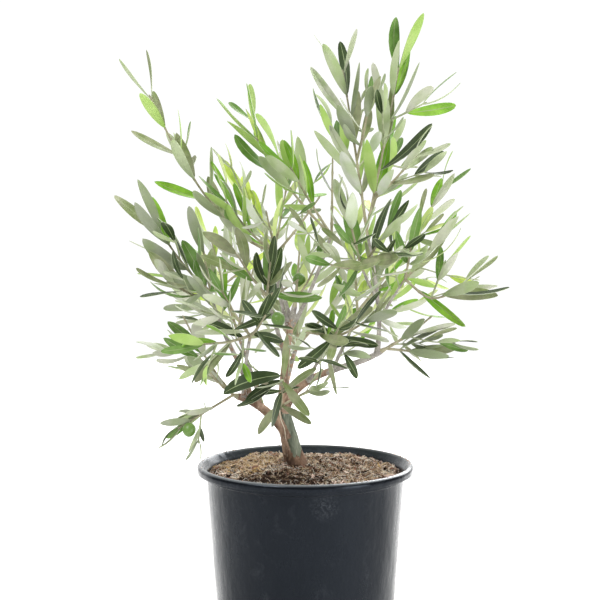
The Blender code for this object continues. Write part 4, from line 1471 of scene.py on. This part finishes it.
# The step under the lip: shares out from the wall, with millimetres down or shares up
STEP_TOP = ((1.0, 0.2), (0.98, 1.2))
STEP_FOOT = ((1.0, 1.0), (0.5, 0.25))
STEP_END = 0.1 * MM
WALL_FROM = 0.6 * MM
FOOT_STEPS = 4
BASE_RIBS = (56, 34, 12)
RIB_HALF = 1.6
RIB_DROP = 0.5 * MM
RECESS_SLOPE = 0.8 * MM
WAVER_SIZE = 45
WAVER_UPRIGHT = 0.6
WAVER_ABOVE = 3 * MM
WAVER_BEYOND = 60 * MM
INSIDE_ABOVE = 4 * MM
POT_SHARP = 35
DRAIN_SIDES = 28


def pot_profile():
    """The pot's section as (radius, height) points, from the floor's middle up the inside,
    over the lip and down the outside to the base's middle."""
    lip_foot = POT_HEIGHT - LIP_DROP
    bead_foot = POT_HEIGHT - BEAD_DROP
    lip = [Vector((RIM_RADIUS - inward * MM, 0, POT_HEIGHT - down * MM))
           for inward, down in LIP_SECTION]
    inner_top = Vector((BODY_TOP_RADIUS - POT_WALL, 0, lip_foot))
    rolled = [(point.x, point.z) for point in rounded([inner_top, *lip], 4)]
    inside = [(0, POT_FLOOR), (BASE_RADIUS * 0.5, POT_FLOOR)]
    inside += [(wall_radius(height) - POT_WALL, height)
               for height in tapered(POT_FLOOR, lip_foot, POT_WALL_RINGS + 1)[:-1]]
    step = [(wall_radius(lip_foot) + BEAD_OUT * out, lip_foot - down * MM)
            for out, down in STEP_TOP]
    step += [(wall_radius(bead_foot) + BEAD_OUT * out, bead_foot + BEAD_ROUNDING * up)
             for out, up in STEP_FOOT]
    step.append((wall_radius(bead_foot) + STEP_END, bead_foot))
    falls = tapered(bead_foot - WALL_FROM, FOOT_ROUNDING - WALL_FROM, POT_WALL_RINGS + 1)[:-1]
    outside = [(wall_radius(height), height) for height in falls if height > FOOT_ROUNDING]
    for number in range(FOOT_STEPS + 1):
        angle = math.pi / 2 * number / FOOT_STEPS
        outside.append((wall_radius(FOOT_ROUNDING) - FOOT_ROUNDING * (1 - math.cos(angle)),
                        FOOT_ROUNDING * (1 - math.sin(angle))))
    base = [(BASE_RECESS_RADIUS, 0), (BASE_RECESS_RADIUS - RECESS_SLOPE, BASE_RECESS)]
    for ring in BASE_RIBS:
        base += [((ring + RIB_HALF) * MM, BASE_RECESS), (ring * MM, BASE_RECESS - RIB_DROP),
                 ((ring - RIB_HALF) * MM, BASE_RECESS)]
    return inside + rolled + step + outside + base + [(0, BASE_RECESS)]


def pot_piece(finishes):
    """The nursery pot: thin wall, rolled lip with a step under it, ribbed base, drains."""
    mesh = Heap(*lathe(pot_profile(), POT_SEGMENTS)).mesh("pot_shell", POT_SHARP)
    for vert in mesh.vertices:
        place = vert.co
        flat = Vector((place.x, place.y, 0))
        if place.z > WAVER_ABOVE and flat.length > WAVER_BEYOND:
            drawn = Vector((place.x, place.y, place.z * WAVER_UPRIGHT))
            vert.co = place + flat.normalized() * lump(drawn, WAVER_SIZE) * POT_WAVER
    # The wall's inside takes the second, paler finish: a painted reflection of the light inside
    # the rim
    for face in mesh.polygons:
        inward = -face.normal.x * face.center.x - face.normal.y * face.center.y
        face.material_index = int(face.center.z > INSIDE_ABOVE and inward > 0)
    item = piece("pot_shell", mesh, finishes, "pot_plastic", "pot")
    holes = Heap()
    up = Vector((0, 0, 2 * POT_FLOOR))
    for number in range(DRAIN_HOLES):
        centre = around(DRAIN_RING_RADIUS, math.tau * number / DRAIN_HOLES)
        holes.add(*tube([centre - up, centre + up], [DRAIN_HOLE_RADIUS] * 2, DRAIN_SIDES))
    cutter = placed("drain_cutter", holes.mesh("drain_cutter", 40))
    cut = item.modifiers.new("Drains", "BOOLEAN")
    cut.operation = "DIFFERENCE"
    cut.solver = "EXACT"
    cut.object = cutter
    drilled = worked_out(item)
    item.modifiers.clear()
    item.data = drilled
    bpy.data.objects.remove(cutter, do_unlink=True)


# The soil's roughness: which slice of the noise, the size of its lumps and their height
SOIL_ROUGHNESS = ((0.3, 24, 3.2), (0.1, 7.5, 3.2), (0.7, 2.6, 1.8))
SOIL_CALM = 6 * MM
SOIL_SUNK = 0.6 * MM
SOIL_REACH = wall_radius(SOIL_TOP) - POT_WALL


def soil_height(radius):
    """The soil's top: level round the trunk, then falling in a soft curve to the wall."""
    share = max(0.0, (radius - SOIL_LEVEL_RADIUS) / (SOIL_REACH - SOIL_LEVEL_RADIUS))
    return SOIL_TOP - SOIL_EDGE_DROP * share ** SOIL_FALL


def soil_surface(x, y):
    """The height of the soil's rough top at a place."""
    radius = math.hypot(x, y)
    calm = min(1.0, max(0.0, (SOIL_REACH - SOIL_CLEAR - radius) / SOIL_CALM))
    rough = sum(lump(Vector((x, y, layer)), size) * height * MM
                for layer, size, height in SOIL_ROUGHNESS)
    heaps = 0.0
    for (middle_x, middle_y), reach, height in SOIL_HEAPS:
        away = math.hypot(x - middle_x * MM, y - middle_y * MM) / (reach * MM)
        heaps += height * MM * math.exp(-away ** 2)
    return soil_height(radius) - SOIL_SUNK + heaps + rough * calm


def soil_piece(finish):
    """The root ball: rough on top, and closed down to the pot's floor."""
    edge = SOIL_REACH - SOIL_CLEAR
    foot = POT_FLOOR + SOIL_CLEAR
    profile = [(edge * number / SOIL_RINGS, SOIL_TOP) for number in range(SOIL_RINGS + 1)]
    profile += [(wall_radius(foot) - POT_WALL - SOIL_CLEAR, foot), (0, foot)]
    points, faces = lathe(profile, SOIL_SEGMENTS)
    for point in points[:1 + SOIL_RINGS * SOIL_SEGMENTS]:
        point.z = soil_surface(point.x, point.y)
    heap_piece("soil_bed", Heap(points, faces), SMALL_SHARP, [finish], "soil_peat",
               "potting_soil")


CRUMB_TINTS = ("dark", "brown", "tan", "ochre")
RIM_TINTS = (1, 2)

# A crumb before it is knocked about: two corners and a belt of four
CRUMB_BALL = [Vector(corner) for corner in (
    (0, 0, 1), (1, 0, 0.15), (0, 1, -0.15), (-1, 0, 0.15), (0, -1, -0.15), (0, 0, -1))]
CRUMB_FACES = ((0, 1, 2), (0, 2, 3), (0, 3, 4), (0, 4, 1), (5, 2, 1), (5, 3, 2), (5, 4, 3),
               (5, 1, 4))
CRUMB_STRETCH = ((0.8, 2.6), (0.5, 1.0), (0.35, 0.8))
CRUMB_KNOCKED = (0.68, 1.25)
CRUMB_FEW_LARGE = 2.6
CRUMB_PROUD = (0.0, 0.7)
CRUMB_SHARP = 30
CRUMBS_FROM_TRUNK = 11 * MM
LOOSE_REACH = SOIL_REACH - 2.6 * MM
RIM_HEAPS = ((2.5, 0.25), (0.5, 0.3))
RIM_ROUND = 6.3
RIM_CRUMB_IN = (2.4, 5.0)
RIM_CRUMB_HALF = (0.35, 0.8)
FIBRES_FROM_TRUNK = 14 * MM
FIBRE_REACH = 0.97
FIBRE_STEP = (0.9, 3.4)
FIBRE_LIFT = (0.3, 2.6)
FIBRE_TURN = (-1.1, 1.1)
FIBRE_RADIUS = (0.14, 0.4)
FIBRE_KNOTS = 5
FIBRE_SIDES = 3
FIBRE_UP = 0.5 * MM


# The ochre and the damp patch at the left: middle, how its two directions count, reach
SOIL_PATCHES = (((-60, 24), (1, 0.8), 40), ((-32, -56), (0.625, 1), 36))
# Painted light on the soil: from here the tan crumbs grow more towards the right and the back,
# and the dark ones fewer towards the back, over this many millimetres
PAINTED_LIGHT_FROM = (-10, -45)
PAINTED_LIGHT_SPREAD = 80
PATCH_LAYER = 2.0
PATCH_SIZE = 20
PATCH_FRAY = 12 * MM


def soil_patches(x, y):
    """How far a place belongs to the ochre patch, and to the damp one."""
    fray = lump(Vector((x, y, PATCH_LAYER)), PATCH_SIZE) * PATCH_FRAY
    return [max(0.0, 1 - math.hypot((x - middle[0] * MM) * counts[0],
                                    (y - middle[1] * MM) * counts[1]) / (reach * MM + fray))
            for middle, counts, reach in SOIL_PATCHES]


def crumb_tint(x, y, rng):
    """Which crumbs lie where: more tan ones towards the right and the back and fewer dark ones
    towards the back, a painted light where the soil is brighter lit, and more dark ones in the
    damp patch.
    """
    ochre, damp = soil_patches(x, y)
    right, back = [min(max((place / MM - first) / PAINTED_LIGHT_SPREAD, 0), 1)
                   for place, first in zip((x, y), PAINTED_LIGHT_FROM)]
    # Painted light: the shares of dark and tan crumbs follow the right and the back
    weights = (0.42 - 0.14 * back + 7 * damp, 0.34,
               0.10 + 0.26 * back + 0.16 * right, 0.02 + 2.4 * ochre)
    return rng.choices(range(4), weights)[0]


def crumb(centre, half, rng):
    """One crumb or chip: a small ball drawn out and knocked out of shape."""
    stretch = Vector([rng.uniform(*ends) for ends in CRUMB_STRETCH])
    tilt = math.radians(rng.uniform(-CRUMB_TILT, CRUMB_TILT))
    turn = Matrix.Rotation(rng.uniform(0, math.tau), 3, "Z") @ Matrix.Rotation(tilt, 3, "Y")
    return [centre + turn @ (corner * rng.uniform(*CRUMB_KNOCKED) * stretch) * half
            for corner in CRUMB_BALL], CRUMB_FACES


def scattered(rng, reach):
    """A place on the soil, anywhere within a reach of its middle."""
    radius = reach * math.sqrt(rng.random())
    angle = rng.uniform(0, math.tau)
    return radius * math.cos(angle), radius * math.sin(angle)


def from_trunk(x, y):
    """How far a place on the soil is from the trunk."""
    foot_x, foot_y, _ = TRUNK_FOOT
    return math.hypot(x - foot_x * MM, y - foot_y * MM)


def soil_crumbs(finishes, rng):
    """Loose crumbs over the soil, and the few that lie on the rim."""
    heaps = [Heap() for _ in CRUMB_TINTS]
    for number in range(CRUMBS + CLODS):
        x, y = scattered(rng, LOOSE_REACH)
        low, high = CRUMB_HALF
        half = low + (high - low) * rng.random() ** CRUMB_FEW_LARGE
        if number >= CRUMBS:
            half = rng.uniform(*CLOD_HALF)
        half *= MM
        if from_trunk(x, y) < CRUMBS_FROM_TRUNK:
            continue
        centre = Vector((x, y, soil_surface(x, y) + half * rng.uniform(*CRUMB_PROUD)))
        tint = crumb_tint(x, y, rng)
        heaps[tint].add(*crumb(centre, half, rng))
    for _ in range(RIM_CRUMBS):
        angle = rng.choice((*[rng.gauss(*heap) for heap in RIM_HEAPS],
                            rng.uniform(0, RIM_ROUND)))
        radius = RIM_RADIUS - rng.uniform(*RIM_CRUMB_IN) * MM
        half = rng.uniform(*RIM_CRUMB_HALF) * MM
        tint = rng.choice(RIM_TINTS)
        heaps[tint].add(*crumb(around(radius, angle, POT_HEIGHT + half / 2), half, rng))
    for tint, heap, finish in zip(CRUMB_TINTS, heaps, finishes):
        heap_piece("soil_crumbs_" + tint, heap, CRUMB_SHARP, [finish], "soil_peat")


def soil_fibres(finishes, rng):
    """Coir fibres that lie over the soil in loose curves."""
    strands = Heap()
    for _ in range(FIBRES):
        x, y = scattered(rng, LOOSE_REACH * FIBRE_REACH)
        heading = rng.uniform(0, math.tau)
        step = rng.uniform(*FIBRE_STEP) * MM
        lift = rng.uniform(*FIBRE_LIFT) * MM
        path = []
        for knot in range(FIBRE_KNOTS):
            arch = lift * math.sin(math.pi * (knot + 0.5) / FIBRE_KNOTS)
            path.append(Vector((x, y, soil_surface(x, y) + arch + FIBRE_UP)))
            heading += rng.uniform(*FIBRE_TURN)
            x += math.cos(heading) * step
            y += math.sin(heading) * step
        x, y, _ = path[0]
        if from_trunk(x, y) < FIBRES_FROM_TRUNK or any(
                math.hypot(point.x, point.y) > LOOSE_REACH for point in path):
            continue
        thick = rng.uniform(*FIBRE_RADIUS) * MM
        ochre, damp = soil_patches(x, y)
        weights = (0.3, 0.2 + 5 * damp, 0.2 + 2 * ochre, 0.3)
        finish = rng.choices(range(len(finishes)), weights)[0]
        strands.add(*tube(path, tapered(thick, thick * 0.5, FIBRE_KNOTS), FIBRE_SIDES),
                    finishes=finish)
    heap_piece("soil_fibres", strands, SMALL_SHARP, finishes, "soil_peat")


FLOOR_RADIUS = 2.3
FLOOR_SIDES = 96
FLOOR_GLOW_FROM = 0.8
FLOOR_GLOW = 0.6
FLAG_RADIUS = 3.2
FLAG_HEIGHTS = (0.02, 2.8)
FLAG_REACH = 118
FLAG_POSTS = 25
WHITE = (1.0, 1.0, 1.0, 1.0)
ROOM_LIGHT = 1.05
LIGHT_AIM = (0, 0, 0.36)
LIGHTS = (
    ("back_light", (0.9, 1.8, 1.7), 1.7, 58),
    ("key_light", (-1.3, -1.3, 2.2), 0.9, 48),
    ("side_light", (1.75, -1.4, 0.5), 1.1, 28),
)


def stage_piece(name, points, faces, look):
    """Puts a part of the studio in the scene, which isn't part of the plant."""
    mesh = Heap(points, faces).mesh(name, 180)
    mesh.materials.append(look.material)
    item = placed(name, mesh)
    return item


def paper(name, first, second):
    """Studio paper: matt, with a faint tooth."""
    look = Look(name, {"Roughness": 0.9, "IOR": 1.5})
    look.paint(look.mottled(3, 2, linear(first), linear(second)))
    return look


def studio():
    """A plain pale floor, lit from below towards its edge, in a white room, soft lights,
    and a dark flag round the front that keeps the pot's gleam to its two edges. The camera
    doesn't see the flag."""
    floor = paper("paper_white_matt", "F9F9F8", "FCFCFC")
    away = floor.add("ShaderNodeVectorMath", {0: floor.place}, operation="LENGTH")["Value"]
    glow = floor.add("ShaderNodeMapRange", spread(
        away, FLOOR_GLOW_FROM, FLOOR_RADIUS, 0.0, FLOOR_GLOW))["Result"]
    floor.fill(floor.shader, {"Emission Strength": glow, "Emission Color": WHITE})
    rim = [around(FLOOR_RADIUS, math.tau * number / FLOOR_SIDES)
           for number in range(FLOOR_SIDES)]
    stage_piece("studio_floor", rim, [tuple(range(FLOOR_SIDES))], floor)
    points = [around(FLAG_RADIUS, math.radians(degrees), height)
              for degrees in tapered(-90 - FLAG_REACH, FLAG_REACH - 90, FLAG_POSTS)
              for height in FLAG_HEIGHTS]
    faces = [(first, first + 1, first + 3, first + 2)
             for first in range(0, len(points) - 2, 2)]
    flag = stage_piece("studio_flag", points, faces,
                       paper("cloth_dark_matt", "46484C", "4E5054"))
    flag.visible_camera = False

    world = bpy.data.worlds.new("pale_room")
    world.use_nodes = True
    bpy.context.scene.world = world
    room = world.node_tree.nodes["Background"]
    room.inputs["Color"].default_value = WHITE
    room.inputs["Strength"].default_value = ROOM_LIGHT
    for name, place, size, power in LIGHTS:
        light = bpy.data.lights.new(name, "AREA")
        light.size = size
        light.energy = power
        lamp = placed(name, light)
        lamp.location = place
        aim = Vector(LIGHT_AIM) - Vector(place)
        lamp.rotation_euler = aim.to_track_quat("-Z", "Y").to_euler()


def camera():
    """The photograph's view: a little above the rim, 1.8 m in front."""
    lens = bpy.data.cameras.new("camera")
    lens.lens = CAMERA_LENS
    lens.sensor_width = CAMERA_SENSOR
    eye = placed("camera", lens)
    eye.location = CAMERA_PLACE
    eye.rotation_euler = (math.radians(90 - CAMERA_DOWN), 0, 0)
    bpy.context.scene.camera = eye
    bpy.context.scene.view_settings.view_transform = "Standard"


def plant():
    """The masses of leaves and twigs, the olives, and the bark of the trunk and boughs."""
    paths = {}
    for limb in LIMBS:
        paths[limb.name] = limb_path(limb, paths)
    limb_tree = limbs_tree(paths, LIMB_CLEARANCE)
    fine_limb_tree = limbs_tree(paths, FINE_LIMB_CLEARANCE)
    necks = {mass.name: neck_of(mass, paths) for mass in MASSES}
    masses_stems = {}
    for mass in MASSES:
        start, way, _ = necks[mass.name]
        masses_stems[mass.name] = main_stems(mass, start + way * (NECK - NECK_OVERLAP))

    leaf_finishes = [leaf_upper("olive_leaf_waxed_" + tint, upper)
                     for tint, (upper, _) in LEAF_TINTS.items()]
    leaf_finishes += [leaf_under("olive_leaf_felted_" + tint, under)
                      for tint, (_, under) in LEAF_TINTS.items()]
    leaf_finishes += [rib("olive_leaf_midrib_smooth", RIB_COLOUR),
                      rib("olive_leaf_margin_smooth", MARGIN_AND_RIM_LIGHT_COLOUR)]
    twig_finishes = [bark("olive_twig_grey_barked", "8A8468", "A9A389", "C4BFA6", depth=0.12),
                     bark("olive_twig_green_barked", "8C9672", "AEB591", "C8CCAE", depth=0.1)]
    views = open_views(masses_stems)
    for seed, mass in enumerate(MASSES, start=1):
        stems, leaves = grow(mass, seed, paths, masses_stems, limb_tree, fine_limb_tree, views)
        mass_pieces(mass, stems, leaves, necks[mass.name], leaf_finishes, twig_finishes)
    fruit = Heap()
    stalks = Heap()
    for olive in OLIVES:
        flesh, stalk = olive_fruit(masses_stems[olive.mass][olive.shoot], olive)
        fruit.add(*flesh)
        stalks.add(*stalk)
    heap_piece("olives", fruit, SMALL_SHARP, [olive_skin("olive_skin_green")], "olive_leaf")
    heap_piece("olive_stalks", stalks, SMALL_SHARP, twig_finishes[1:], "olive_bark")
    bark_piece(paths, [
        bark("olive_bark_foot_damp", "3F2C21", "8F705A", "B0937B", crack=3, depth=0.8,
             streak=0.5),
        bark("olive_bark_smooth_green", "525C4D", "8E9480", "B9B8A6", depth=0.4, streak=0.2),
        bark("olive_bark_red_cracked", "5F4535", "B79A84", "DCCBB6", crack=2.6, depth=0.8,
             streak=0.35),
        bark("olive_bark_grey_dry", "756F68", "A8A39B", "C8C5BC", depth=0.25),
        # Bare pale wood: the scar's own colour, and a painted highlight along the groove's pale
        # line
        bark("olive_wood_bare_pale", "CDBFA6", "E4DAC6", "F0E9DA", depth=0.2),
    ])


def pot_and_soil():
    """The pot, the root ball and what lies loose on it."""
    # The second finish, for the wall's inside, is paler than the first: a painted reflection,
    # with dust scuffs as outside
    pot_piece([pot_plastic("polypropylene_moulded_satin", "101216", "54575B"),
               pot_plastic("polypropylene_dusty_satin", "2C3034", "8A8D8F")])
    soil_piece(earth("peat_packed_damp", "231A14", "47372B", 5))
    rng = random.Random(7)
    soil_crumbs([earth("peat_crumb_dark", "100B09", "2E211B"),
                 earth("peat_crumb_brown", "684739", "B48E7C"),
                 earth("coir_crumb_tan", "DEBBA8", "FFF0E6"),
                 earth("moss_crumb_ochre", "A88352", "E8C890")], rng)
    soil_fibres([earth("coir_fibre_dry", "F2E4D2", "FFFAF0"),
                 earth("coir_fibre_damp", "33261E", "5A463A"),
                 earth("coir_fibre_golden", "CBB08C", "F4E2C4"),
                 earth("coir_fibre_brown", "8C6C54", "C4A184")], rng)


plant()
pot_and_soil()
studio()
camera()
